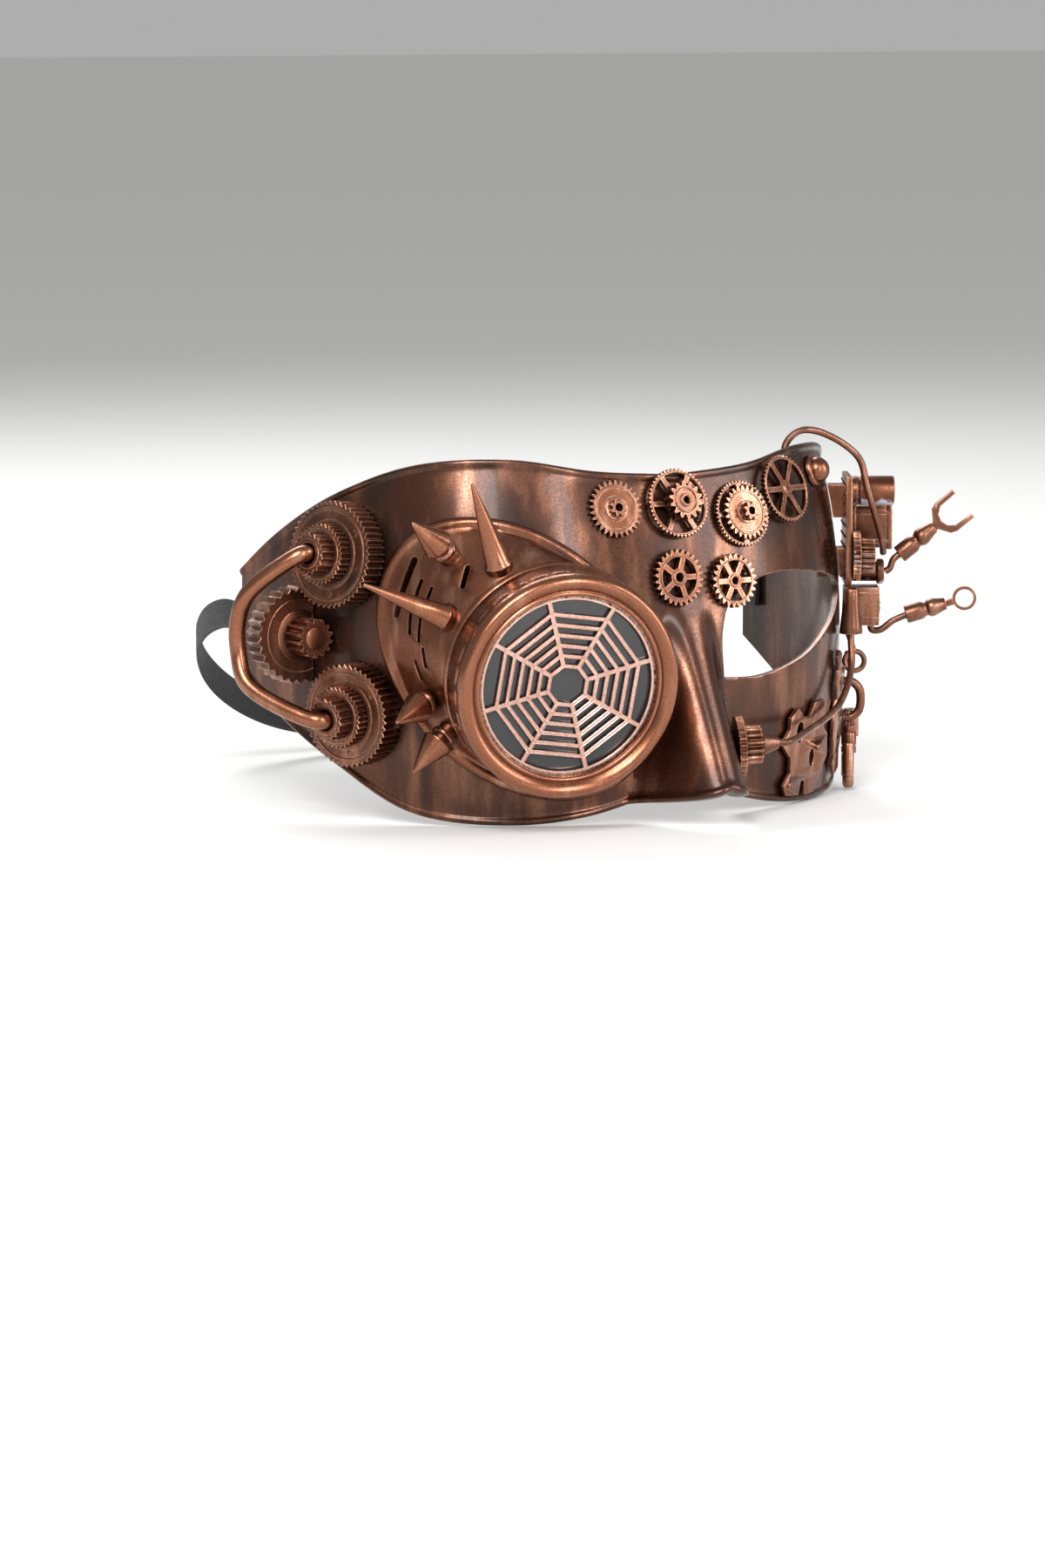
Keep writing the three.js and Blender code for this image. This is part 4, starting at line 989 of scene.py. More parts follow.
long_spike("spike_top_long", 116, 0.78, (-0.42, -0.15, 0.895), 25)
long_spike("spike_side_long", 155, 0.8, (-0.92, 0.1, 0.38), 25.5)
short_spike("spike_upper_short", 131, 0.36, (-0.8, -0.25, 0.54), 6, 12)
short_spike("spike_lower_short", 206, 0.55, (-0.86, -0.46, -0.24), 5.5, 12)
short_spike("spike_bottom_short", 221, 0.6, (-0.72, -0.05, -0.66), 4.5, 11)


# The gears: each is a moulded disc with teeth cut round it, and many are stacked and glued face to face.
# Pointed teeth meet in an edge; blunt ones have a flat land. The tips of the teeth are painted bright, partly
# as rubbed paint and partly as a painted highlight.
def gear_tree():
    """A flat gear: toothed outline, windows between spokes and a bore, given a thickness."""
    tree, given, end = nodes_tree("cut_gear", {
        "Teeth": 30, "Tip": 8.0, "Depth": 1.0, "Flank": 1.0, "Thickness": 2.0, "Bore": 0.0, "Windows": 0,
        "Window Inner": 3.0, "Window Outer": 6.0, "Bar": 0.7,
    })
    steps = 8
    index = tree.nodes.new("GeometryNodeInputIndex").outputs[0]
    position = tree.nodes.new("GeometryNodeInputPosition").outputs[0]
    round_points = maths(tree, "MULTIPLY", given["Teeth"], steps)
    blank = node(tree, "GeometryNodeCurvePrimitiveCircle", Resolution=round_points, Radius=1.0)
    share = maths(tree, "DIVIDE", maths(tree, "MODULO", index, steps), steps)
    slope = maths(tree, "ABSOLUTE", maths(tree, "SUBTRACT", maths(tree, "MULTIPLY", share, 2), 1))
    flank = maths(tree, "MULTIPLY", maths(tree, "SUBTRACT", 1, slope), given["Flank"])
    land = maths(tree, "MULTIPLY", maths(tree, "SUBTRACT", given["Flank"], 1), 0.45)
    high = maths(tree, "SUBTRACT", flank, land, clamp=True)
    cut = maths(tree, "MULTIPLY", given["Depth"], maths(tree, "SUBTRACT", 1, high))
    radius = maths(tree, "SUBTRACT", given["Tip"], cut)
    joined = tree.nodes.new("GeometryNodeJoinGeometry")
    link(tree, moved_to(tree, blank.outputs[0], scaled(tree, position, radius)), joined.inputs[0])

    square = node(tree, "GeometryNodeCurvePrimitiveQuadrilateral", Width=1.0, Height=1.0)
    rounded = node(tree, "GeometryNodeResampleCurve", Curve=square.outputs[0], Count=36)
    panes, number = repeated(tree, rounded.outputs[0], given["Windows"])
    apart = node(tree, "ShaderNodeSeparateXYZ", Vector=position)
    between = maths(tree, "SUBTRACT", given["Window Outer"], given["Window Inner"])
    out_share = maths(tree, "ADD", apart.outputs[1], 0.5)
    reach = maths(tree, "ADD", given["Window Inner"], maths(tree, "MULTIPLY", out_share, between))
    half_turn = maths(tree, "DIVIDE", math.pi, maths(tree, "MAXIMUM", given["Windows"], 1))
    open_half = maths(tree, "SUBTRACT", half_turn, maths(tree, "DIVIDE", given["Bar"], reach))
    turns = maths(tree, "ADD", number, 0.5)
    middle = maths(tree, "MULTIPLY", turns, maths(tree, "MULTIPLY", half_turn, 2))
    swing = maths(tree, "MULTIPLY", maths(tree, "MULTIPLY", apart.outputs[0], 2), open_half)
    angle = maths(tree, "ADD", middle, swing)
    across = maths(tree, "MULTIPLY", reach, maths(tree, "COSINE", angle))
    up = maths(tree, "MULTIPLY", reach, maths(tree, "SINE", angle))
    link(tree, moved_to(tree, panes, vector(tree, across, up)), joined.inputs[0])

    centre = node(tree, "GeometryNodeCurvePrimitiveCircle", Resolution=28, Radius=given["Bore"])
    has_bore = maths(tree, "MINIMUM", maths(tree, "CEIL", given["Bore"]), 1)
    link(tree, repeated(tree, centre.outputs[0], has_bore)[0], joined.inputs[0])

    face = node(tree, "GeometryNodeFillCurve", Curve=joined.outputs[0])
    upward = vector(tree, z=given["Thickness"])
    raised = node(tree, "GeometryNodeExtrudeMesh", Mesh=face.outputs[0], Offset=upward, Individual=False)
    under = node(tree, "GeometryNodeFlipFaces", Mesh=face.outputs[0])
    both = tree.nodes.new("GeometryNodeJoinGeometry")
    link(tree, raised.outputs["Mesh"], both.inputs[0])
    link(tree, under.outputs[0], both.inputs[0])
    closed = node(tree, "GeometryNodeMergeByDistance", Geometry=both.outputs[0], Distance=0.0005)
    link(tree, closed.outputs[0], end)
    return tree


CUT_GEAR = gear_tree()
BLUNT = 2.6


def disc(base, teeth, tip, depth, thickness, flank=1.0, windows=None, bore=0.0):
    """One toothed disc standing on a height, with its windows as (count, inner, outer, bar)."""
    values = {
        "Teeth": teeth, "Tip": float(tip), "Depth": float(depth), "Flank": float(flank),
        "Thickness": float(thickness), "Bore": float(bore),
    }
    if windows:
        values["Windows"] = windows[0]
        for key, value in zip(("Window Inner", "Window Outer", "Bar"), windows[1:]):
            values[key] = float(value)
    points, faces = run_tree(CUT_GEAR, values, gear_copper)
    return [(x, y, z + base) for x, y, z in points], faces


def band(inner, outer, low, high, sides=72):
    """A raised round band, with its edges softened; a plug where the inner radius is 0."""
    soft = min(0.12, (outer - inner) / 3)
    if inner == 0:
        profile = [(0, low), (outer, low), (outer, high - soft), (outer - soft, high), (0, high)]
    else:
        profile = [(inner, low), (outer, low), (outer, high - soft), (outer - soft, high),
            (inner + soft, high),
                   (inner, high - soft)]
    return turned_profile(profile, sides)


def shifted(shape, x, y):
    return [(a + x, b + y, z) for a, b, z in shape[0]], shape[1]


def stack_piece(name, shapes, position, direction, near_up=(0, 0, 1)):
    """Closed shapes, each on or beside one axis, as one mesh in its place."""
    data = bpy.data.meshes.new(name)
    stack = bmesh.new()
    for points, faces in shapes:
        data.clear_geometry()
        data.from_pydata([p * MM for p in placed(points, position, direction, near_up)], [], faces)
        work = bmesh.new()
        work.from_mesh(data)
        bmesh.ops.remove_doubles(work, verts=work.verts, dist=1e-7)
        bmesh.ops.recalc_face_normals(work, faces=work.faces)
        work.to_mesh(data)
        work.free()
        stack.from_mesh(data)
    stack.to_mesh(data)
    stack.free()
    made = bpy.data.objects.new(name, data)
    scene.collection.objects.link(made)
    return made


def skin_gear(name, node_name, shapes, turn, z, proud=GAP):
    made = stack_piece(name, shapes, skin(turn, z, proud), outward(turn, z))
    settle(round_edges(made, 0.1, 1, 32), gear_copper, "antique_copper", node_name)


OVER_BEAD = BEAD_HEIGHT + GAP
skin_gear("brow_gear_a_stack", "brow_gear_a", [
    disc(0, 28, 7.8, 1.5, 1.3, 1.4, bore=1.1), band(5.6, 6.5, 1.2, 1.6), band(1.1, 3.3, 1.2, 1.7),
    disc(1.5, 8, 2.6, 0.9, 1.7, BLUNT, bore=1.1),
], -12.3, 36.5)
skin_gear("brow_wheel_b_spokes", "brow_wheel_b", [
    disc(0, 48, 9.4, 0.8, 1.35, windows=(6, 3.6, 8, 0.7), bore=1), band(8.1, 8.7, 1.2, 1.6),
    band(1, 3.4, 1.2, 1.6),
], -0.5, 37, OVER_BEAD)
skin_gear("brow_pinion_b_stack", "brow_pinion_b", [
    disc(1.9, 14, 5.2, 1.3, 3.2, 1.8, bore=1), band(2.9, 3.6, 5, 5.5), band(1, 2, 5, 5.5),
], -0.5, 37, OVER_BEAD)
skin_gear("brow_ring_c_rim", "brow_ring_c", [
    disc(0, 48, 9, 0.8, 1.2, windows=(4, 5.4, 7.9, 0.8), bore=1), band(8, 8.5, 1.1, 1.4),
], 12.3, 33.5)
skin_gear("brow_gear_c_stack", "brow_gear_c", [
    disc(1.7, 26, 7.4, 1.4, 1.15, 1.4, bore=1.1), band(5.3, 6.1, 2.7, 3.1), band(1.1, 3.2, 2.7, 3.3),
    disc(3, 8, 2.6, 0.9, 2.3, BLUNT, bore=1.1),
], 12.3, 33.5)
skin_gear("brow_wheel_d_spokes", "brow_wheel_d", [
    disc(0, 44, 9.2, 0.8, 1.35, windows=(6, 2.2, 8, 0.7)), band(8, 8.6, 1.2, 1.6), band(0, 1.2, 1.2, 1.6, 32),
], 22.6, 38.8, OVER_BEAD)


def cut_to_shell(made):
    """Trims what would stand inside the wall, so that the piece is seated on the curved shell."""
    return cut_out(made, wall_mesh("seat_cutter", GAP, -SHELL_WALL - GAP, 121, 40, grow=GAP), stacked=True)


for gear_name, teeth, tip, spokes, bore, turn, z in (
    ("brow_wheel_e", 26, 7.6, 5, 1.2, -2, 18),
    ("brow_wheel_f", 24, 7.3, 6, 1, 8.6, 16.2),
):
    spoked = [
        disc(0, teeth, tip, 1.3, 1.75, 1.6, windows=(spokes, bore + 1.2, 5.4, 0.75), bore=bore),
        band(bore, bore + 0.8, 1.6, 2, 32), band(5.4, 5.8, 1.6, 2),
    ]
    made = stack_piece(gear_name + "_disc", spoked, skin(turn, z, 2 * GAP), outward(turn, z))
    made = cut_to_shell(round_edges(made, 0.1, 1, 32))
    settle(made, gear_copper, "antique_copper", gear_name)


# The temple: two stacks of thick compound gears, bridged by a bowed tube, and a gear on edge between them.
# The stacks are painted darker; their faces carry raised rings and round mould plugs.
STACK_BASE, STACK_MIDDLE, STACK_TOP = 6.5, 3.6, 4.4
TEMPLE_TUBE_RADIUS, TEMPLE_TUBE_STAND = 2.25, 21
# Its last value lets the painted shade in the recesses reach 3 mm, wider than on the other pieces.
temple_copper = rubbed_finish(
    "dark_temple_copper", (0.01, 0.005, 0.004, 1), (0.19, 0.07, 0.037, 1), (0.66, 0.35, 0.22, 1), 60, 0.55,
    0.45, 0.3, 0.003,
)


def temple_stack(name, turn, z, tip, teeth):
    large = [
        disc(0, teeth, tip, 1.1, STACK_BASE - 0.35), band(tip - 2.6, tip - 1.9, STACK_BASE - 0.5, STACK_BASE),
        band(0, 9.2, STACK_BASE - 0.5, STACK_BASE),
    ]
    for k in range(3):
        a = math.radians(35 + 120 * k)
        plug = band(0, 0.85, STACK_BASE - 0.5, STACK_BASE - 0.1, 20)
        large.append(shifted(plug, (tip - 3.8) * math.cos(a), (tip - 3.8) * math.sin(a)))
    foot = STACK_BASE + GAP
    step = foot + STACK_MIDDLE
    small = [
        disc(foot, 34, 8.2, 0.9, STACK_MIDDLE - 0.2), band(6.3, 6.8, step - 0.4, step),
        disc(step - 0.1, 18, 5.6, 0.9, STACK_TOP - 0.1, bore=TEMPLE_TUBE_RADIUS + 2 * GAP),
        band(TEMPLE_TUBE_RADIUS + 2 * GAP, 4, step + STACK_TOP - 0.3, step + STACK_TOP),
    ]
    for part, shapes in (("large", large), ("small", small)):
        made = stack_piece(f"{name}_{part}_stack", shapes, skin(turn, z, GAP), outward(turn, z))
        settle(round_edges(made, 0.12, 1, 32), temple_copper, "antique_copper", f"{name}_gear_{part}")
    return skin(turn, z, STACK_BASE + STACK_MIDDLE + 3 * GAP + 0.6), outward(turn, z)


upper_plug, upper_out = temple_stack("upper", -58, 24, 14.3, 48)
lower_plug, lower_out = temple_stack("lower", -54.6, -17.5, 13.8, 46)


def round_tube(name, points, radius, steps, sides=20):
    """A round tube along a smooth curve, with softened ends."""
    path = through(points, steps)
    normal = None
    rings = []
    for i, at in enumerate(path):
        along = (path[min(i + 1, len(path) - 1)] - path[max(i - 1, 0)]).normalized()
        if normal is None:
            normal = along.orthogonal().normalized()
        normal = (normal - along * normal.dot(along)).normalized()
        aside = along.cross(normal)
        turns = [2 * math.pi * j / sides for j in range(sides)]
        ring = [at + (normal * math.cos(a) + aside * math.sin(a)) * radius for a in turns]
        past = along * 0.15 * radius * (1 if i else -1)
        end_ring = [at + (p - at) * 0.7 + past for p in ring]
        if i == 0:
            rings.append(end_ring)
        rings.append(ring)
        if i == len(path) - 1:
            rings.append(end_ring)
    return make_mesh(name, *sweep(rings))


def bow(out, y, z):
    return Vector((-SHELL_HALF_WIDTH - TEMPLE_TUBE_STAND - out, y, z))


temple_route = [
    upper_plug, upper_plug + upper_out * 5, upper_plug + upper_out * 8.4 + Vector((0, 2.4, -2)),
    bow(0, 52, 15),
    bow(1, 56, 7), bow(0.6, 56.5, -1), bow(0, 53, -9), lower_plug + lower_out * 8.6 + Vector((0, 4.5, 1)),
    lower_plug + lower_out * 5, lower_plug,
]
temple_tube = round_tube("bowed_temple_tube", temple_route, TEMPLE_TUBE_RADIUS, 90, 32)
settle(finish_mesh(temple_tube, 50), satin_copper, "antique_copper", "temple_tube")

EDGE_GEAR_RADIUS, EDGE_GEAR_THICKNESS = 13, 6.6
edge_gear_at = Vector((-SHELL_HALF_WIDTH - 1.5, 65, 2))
edge_wheel = [
    disc(0, 30, EDGE_GEAR_RADIUS, 1.1, EDGE_GEAR_THICKNESS - 0.3), band(9.4, 10.2, 6, 6.6),
    band(0, 7, 6, 6.6),
]
edge_cog = [disc(EDGE_GEAR_THICKNESS + GAP, 14, 5.2, 1, 7.7, BLUNT), band(0, 3, 14, 14.9, 32)]
for piece_name, node_name, shapes, paint in (
    ("edge_gear_disc", "edge_gear", edge_wheel, temple_copper),
    ("edge_pinion_cog", "edge_pinion", edge_cog, gear_copper),
):
    made = stack_piece(piece_name, shapes, edge_gear_at, (0, -1, 0))
    wall = wall_mesh("temple_cutter", GAP, -1.2 * EDGE_GEAR_RADIUS, 121, 40, grow=GAP)
    made = cut_out(round_edges(made, 0.12, 1, 32), wall, stacked=True)
    settle(made, paint, "antique_copper", node_name)


# The wearer's left temple: a small circuit board with moulded parts glued on it, all sprayed copper.
# Faces that point downward are coloured pale lavender instead of copper.
BOARD_TURN, BOARD_STAND, BOARD_THICKNESS = 46.5, 1.2, 1.6
board_out = outward(BOARD_TURN, 0)
board_out.z = 0
board_out.normalize()
board_back = Vector((0, 0, 1)).cross(board_out)
board_foot = surface(BOARD_TURN, 0)
board_face = BOARD_STAND + BOARD_THICKNESS + GAP


def beside(out, z, back):
    """A point by the board: out from the shell, up, and back along the head."""
    return board_foot + Vector((0, 0, z)) + board_out * out + board_back * back


def beside_way(out, z):
    return (Vector((0, 0, z)) + board_out * out).normalized()


def sprayed_plastic():
    """Copper spray, turning pale lavender and not metallic on faces that point downward."""
    made, tree, shader = new_material("sprayed_part_copper")
    paint = tree.nodes.new("ShaderNodeGroup")
    paint.node_tree = RUBBED
    values = ((0.014, 0.007, 0.005, 1), (0.18, 0.068, 0.036, 1), (0.6, 0.33, 0.22, 1), 90, 0.62, 0.45, 0.32)
    for socket, value in zip(paint.inputs, values):
        socket.default_value = value
    normal = tree.nodes.new("ShaderNodeNewGeometry").outputs["Normal"]
    facing = node(tree, "ShaderNodeSeparateXYZ", Vector=normal)
    at = tree.nodes.new("ShaderNodeTexCoord").outputs["Object"]
    drift = ranged(tree, noise(tree, at, 420, 3), 0.3, 0.7, -0.25, 0.25)
    ragged = maths(tree, "ADD", facing.outputs[2], drift)
    # Faces that point downward turn pale lavender and lose their metal.
    downward_pale = ranged(tree, ragged, -0.6, -0.75)
    link(tree, mixed(tree, downward_pale, paint.outputs["Color"], (0.42, 0.38, 0.45, 1)), shader.inputs["Base Color"])
    copper_share = maths(tree, "SUBTRACT", 1, downward_pale)
    link(tree, maths(tree, "MULTIPLY", paint.outputs["Metallic"], copper_share), shader.inputs["Metallic"])
    link(tree, paint.outputs["Roughness"], shader.inputs["Roughness"])
    bump = tree.nodes.new("ShaderNodeBump")
    bump.inputs["Distance"].default_value = 0.00003
    link(tree, paint.outputs["Height"], bump.inputs["Height"])
    link(tree, bump.outputs["Normal"], shader.inputs["Normal"])
    return made


def box_shape(width, height, low, high, x=0, y=0):
    corners = [(sx * width / 2 + x, sy * height / 2 + y) for sx, sy in ((-1, -1), (1, -1), (1, 1), (-1, 1))]
    return sweep([[(a, b, z) for a, b in corners] for z in (low, high)])


def pin_tree():
    """Rows of small domed pins, as on the back of a circuit board."""
    tree, given, end = nodes_tree("pin_rows", {
        "Columns": 6, "Rows": 8, "Pitch": 2.5, "Pin Radius": 0.5, "Pin Height": 0.7, "Base": 0.0,
    })
    sizes = {}
    for axis, number in (("Size_X", "Columns"), ("Size_Y", "Rows")):
        sizes[axis] = maths(tree, "MULTIPLY", maths(tree, "SUBTRACT", given[number], 1), given["Pitch"])
    grid = node(
        tree, "GeometryNodeMeshGrid", **sizes, Vertices_X=given["Columns"], Vertices_Y=given["Rows"],
    )
    pin = node(tree, "GeometryNodeMeshIcoSphere", Radius=given["Pin Radius"], Subdivisions=2)
    tall = vector(tree, 1.0, 1.0, maths(tree, "DIVIDE", given["Pin Height"], given["Pin Radius"]))
    every = node(
        tree, "GeometryNodeInstanceOnPoints", Points=grid.outputs["Mesh"], Instance=pin.outputs["Mesh"],
        Scale=tall,
    )
    lift = vector(tree, z=given["Base"])
    raised = node(tree, "GeometryNodeTransform", Geometry=every.outputs[0], Translation=lift)
    link(tree, raised.outputs[0], end)
    return tree


PIN_ROWS = pin_tree()
part_copper = sprayed_plastic()


def pins(columns, rows, pitch, radius, height, base):
    values = {
        "Columns": columns, "Rows": rows, "Pitch": float(pitch), "Pin Radius": float(radius),
        "Pin Height": float(height), "Base": float(base),
    }
    return run_tree(PIN_ROWS, values, part_copper)


def board_part(name, node_name, shapes, out, z, back, slot="part_copper", trim=False, bevel=0.2, paint=None):
    made = stack_piece(name, shapes, beside(out, z, back), board_out)
    made = round_edges(made, bevel, 2, 40)
    if trim:
        made = cut_to_shell(made)
    settle(made, paint or part_copper, slot, node_name)


board_part("circuit_board_panel", "circuit_board", [
    box_shape(21, 30, 0, BOARD_THICKNESS), pins(7, 10, 2.9, 0.42, 0.3, BOARD_THICKNESS),
    pins(7, 10, 2.9, 0.5, 0.4, 0), box_shape(0.7, 27, 1.5, 1.75, -9.4),
    box_shape(0.7, 18, 1.5, 1.75, -1.4, 2),
    box_shape(14, 0.6, 1.5, 1.75, 1, -11.6), box_shape(7, 9, -7.5, 0.3, -2, 8),
    box_shape(7, 8, -7.5, 0.3, -1, -9),
], BOARD_STAND, 25, 1.5, trim=True, bevel=0.1)
can = [
    (0, 0), (4, 0), (4, 1.1), (3.85, 1.3), (3.65, 1.5), (3.65, 1.75), (3.85, 1.95), (4, 2.15), (4, 10.9),
    (3.85, 11.25),
    (3.5, 11.4), (3.3, 11.4), (3.1, 11.2), (1.2, 11.2), (1, 11.35), (0, 11.35),
]
board_part("capacitor_can", "capacitor", [turned_profile(can, 56)], board_face, 36, -4, "antique_copper",
    bevel=0.05)
board_part("chip_housing", "chip_box", [
    box_shape(9, 12.4, 0, 1.4), box_shape(8.2, 11.6, 1, 10.6), box_shape(9, 12.4, 9.9, 11.4),
    box_shape(9, 1, 1, 10.5, 0, 4), box_shape(9, 1, 1, 10.5, 0, -4), pins(3, 4, 2.4, 0.5, 0.35, 11.3),
], board_face, 25.4, 6.2)
board_part("board_gear_cog", "board_gear", [
    disc(0, 30, 7, 0.8, 2), band(4.9, 5.5, 1.8, 2.2), disc(1.9, 16, 4.8, 0.9, 4.1, BLUNT, bore=1.2),
    band(1.2, 2.2, 5.8, 6.2),
], board_face, 18.4, -7.4, "antique_copper", bevel=0.08)
barrel = [
    (0, 0), (2.7, 0), (2.7, 1.6), (2.5, 1.8), (2.5, 2.2), (2.7, 2.4), (2.7, 7.1), (3.4, 7.35), (3.5, 7.6),
    (3.5, 8.6),
    (3.35, 8.95), (3.1, 9.2), (1.6, 9.2), (1.5, 8.6), (0, 8.6),
]
board_part("flanged_barrel_boss", "flanged_barrel", [turned_profile(barrel, 48)], board_face, 13, 3,
    "antique_copper",
           bevel=0.05)
board_part("connector_housing", "connector_block", [
    box_shape(9, 10.6, 0, 9.6), box_shape(9.3, 1, 3, 9.7, 0, 3.4), box_shape(9.3, 1, 3, 9.7, 0, -3.4),
    box_shape(5.4, 4.4, 9.4, 9.9), pins(3, 2, 1.6, 0.35, 0.4, 9.8),
], 1.2, 3.9, 1.2, trim=True)


# The leads: stiff copper wire under old paint, bent by hand, with crimped terminals on two of them.
# The terminals are folded sheet: a split sleeve pinched round the wire, then a flat fork or ring.
LEAD_RADIUS = 0.95
lead_copper = rubbed_finish(
    "old_lead_copper", (0.02, 0.01, 0.007, 1), (0.17, 0.066, 0.036, 1), (0.52, 0.28, 0.18, 1), 120, 0.66,
    0.5, 0.34,
)


def lead_wire(name, node_name, points, steps=90):
    wire = round_tube(name, points, LEAD_RADIUS, steps, 18)
    settle(finish_mesh(wire, 50), lead_copper, "lead_copper", node_name)


def plate_shape(outline, holes, low, high):
    """A flat sheet cut to an outline with holes."""
    loops = [[Vector((x, y, 0)) for x, y in loop] for loop in (outline, *holes)]
    flat = [p for loop in loops for p in loop]
    triangles = geometry.tessellate_polygon(loops)
    count = len(flat)
    points = [(p.x, p.y, z) for z in (low, high) for p in flat]
    faces = [tuple(t) for t in triangles] + [tuple(i + count for i in t) for t in triangles]
    start = 0
    for loop in loops:
        for i in range(len(loop)):
            a, b = start + i, start + (i + 1) % len(loop)
            faces.append((a, b, b + count, a + count))
        start += len(loop)
    return points, faces


def turned_up(shape, lift):
    """Stands a flat plate on its edge, so that its own Y runs along the piece's axis."""
    return [(x, -z, y + lift) for x, y, z in shape[0]], shape[1]


def crimp_sleeve(length):
    profile = [
        (0, 0), (2.3, 0), (2.5, 0.2), (2.5, length * 0.38), (2.35, length * 0.42), (1.95, length * 0.47),
        (1.9, length * 0.52), (2.3, length * 0.57), (2.5, length * 0.6), (2.5, length * 0.7),
        (2.3, length * 0.75),
        (1.9, length * 0.88), (1.6, length), (0, length),
    ]
    return turned_profile(profile, 36)


def terminal(name, node_name, length, plates, root, way):
    shapes = [crimp_sleeve(length), *(turned_up(p, length) for p in plates)]
    made = stack_piece(name, shapes, root, way, board_back)
    settle(round_edges(made, 0.12, 2, 40), lead_copper, "lead_copper", node_name)


def circle(count, radius, x=0, y=0):
    turns = [2 * math.pi * i / count for i in range(count)]
    return [(x + radius * math.cos(a), y + radius * math.sin(a)) for a in turns]


FORK_OUTLINE = [
    (-1.2, -1), (1.2, -1), (1.2, 0.6), (4.2, 2.6), (4.9, 4.4), (4.9, 10.4), (3.6, 10.4), (3.4, 5), (2, 3.2),
    (0, 2.6),
    (-2, 3.2), (-3.4, 5), (-3.6, 10.4), (-4.9, 10.4), (-4.9, 4.4), (-4.2, 2.6), (-1.2, 0.6),
]
fork_way, fork_root = beside_way(0.78, 0.63), beside(16.6, 17.6, 3)
ring_way, ring_root = beside_way(0.96, 0.27), beside(18.4, 1.2, 1)
lead_wire("fork_lead_wire", "fork_lead", [
    beside(12.8, 13, 3), beside(14, 13.8, 3), fork_root - fork_way * 2, fork_root + fork_way,
], 40)
fork_plate = plate_shape(FORK_OUTLINE, [], -0.5, 0.5)
terminal("fork_terminal_crimp", "fork_terminal", 12.2, [fork_plate], fork_root, fork_way)
lead_wire("ring_lead_wire", "ring_lead", [
    beside(8.6, -1.8, 1), beside(9.2, -3, 1), beside(11.4, -3, 1), beside(15, -0.4, 1), ring_root + ring_way,
], 60)
ring_eye = plate_shape(circle(64, 3.3, 0, 5.4), [circle(48, 2.5, 0, 5.4)], -0.5, 0.5)
ring_neck = plate_shape([(-0.9, -1), (0.9, -1), (0.9, 2.6), (-0.9, 2.6)], [], -0.5, 0.5)
terminal("ring_terminal_crimp", "ring_terminal", 11.4, [ring_eye, ring_neck], ring_root, ring_way)
lead_wire("arch_lead_wire", "arch_wire", [
    skin(30.5, 46.5, -SHELL_WALL - 2.2), skin(31, 50.8, -SHELL_WALL - 1), skin(32.5, 53.2, 0.6),
    skin(36, 51.5, 4.6),
    beside(4.4, 45.4, -9.6), beside(6.6, 38, -10.4), beside(9, 30, -9.4), beside(11.2, 22.5, -5.4),
    beside(11.9, 18.6, -1.2),
], 140)
dome = [
    (0, 0), (4.4, 0), (4.4, 0.8), (4.2, 1.05), (3.5, 1.2), (3.45, 2), (3.2, 2.8), (2.7, 3.5), (1.9, 4.2),
    (1, 4.6),
    (0, 4.75),
]
dome_knob = lathe_piece("dome_knob_cap", dome, 48, skin(34.5, 42.5, GAP), outward(34.5, 42.5))
settle(finish_mesh(dome_knob, 40), gear_copper, "antique_copper", "dome_knob")


# The cheek lead: a wire from a bell-shaped ferrule under the board, down the cheek to the nose gear.
# It ends in a cone ferrule against the gear's pinion.
nose_gear_at = Vector((11.4, -6.2, -27))
nose_gear_way = Vector((0.9, -0.42, 0.06)).normalized()
NOSE_WHEEL, NOSE_PINION, CONE_LENGTH = 2, 4.8, 4.4
nose_gear = stack_piece("nose_gear_cog", [
    disc(0, 26, 8.3, 1, NOSE_WHEEL), band(5.6, 6.2, 1.8, 2.25),
    disc(NOSE_WHEEL - 0.1, 14, 5.2, 1.3, NOSE_PINION + 0.1, BLUNT, bore=1.4),
], nose_gear_at, nose_gear_way)
nose_gear = cut_to_shell(round_edges(nose_gear, 0.1, 1, 32))
settle(nose_gear, gear_copper, "antique_copper", "nose_gear")


def beside_nose(length):
    return nose_gear_at + nose_gear_way * (NOSE_WHEEL + NOSE_PINION + length)


bell = [
    (0, 4), (1.9, 4), (2.1, 2), (2.3, 0.15), (2.6, 0), (3.1, 0.1), (3.2, 0.5), (3.05, 2), (2.85, 3.6),
    (2.55, 6),
    (2.4, 9), (2.3, 11.8), (2.1, 12.3), (1.2, 12.6), (0, 12.6),
]
bell_ferrule = lathe_piece("bell_ferrule_sleeve", bell, 48, beside(2.5, -2.6, -12.4), (0, 0, 1), board_out)
settle(finish_mesh(bell_ferrule, 40), lead_copper, "antique_copper", "bell_ferrule")
lead_wire("cheek_lead_wire", "cheek_lead", [
    beside(2.5, 0.4, -12.4), beside(2.5, -4, -12.6), skin(38.5, -10, 4.4), skin(35.5, -16, 4.6),
    skin(31.5, -20.4, 4.8), skin(26.5, -23, 5.4), skin(21, -24, 8.4), beside_nose(CONE_LENGTH + 3 * GAP + 2),
    beside_nose(CONE_LENGTH - 1),
], 140)
cone = [(0, 0), (2.9, 0), (3.1, 0.2), (3.1, 0.6), (2.9, 0.85), (1.7, CONE_LENGTH - 0.3), (1.5, CONE_LENGTH),
    (0, CONE_LENGTH)]
cone_ferrule = lathe_piece("cone_ferrule_sleeve", cone, 40, beside_nose(GAP), nose_gear_way)
settle(finish_mesh(cone_ferrule, 40), lead_copper, "antique_copper", "cone_ferrule")


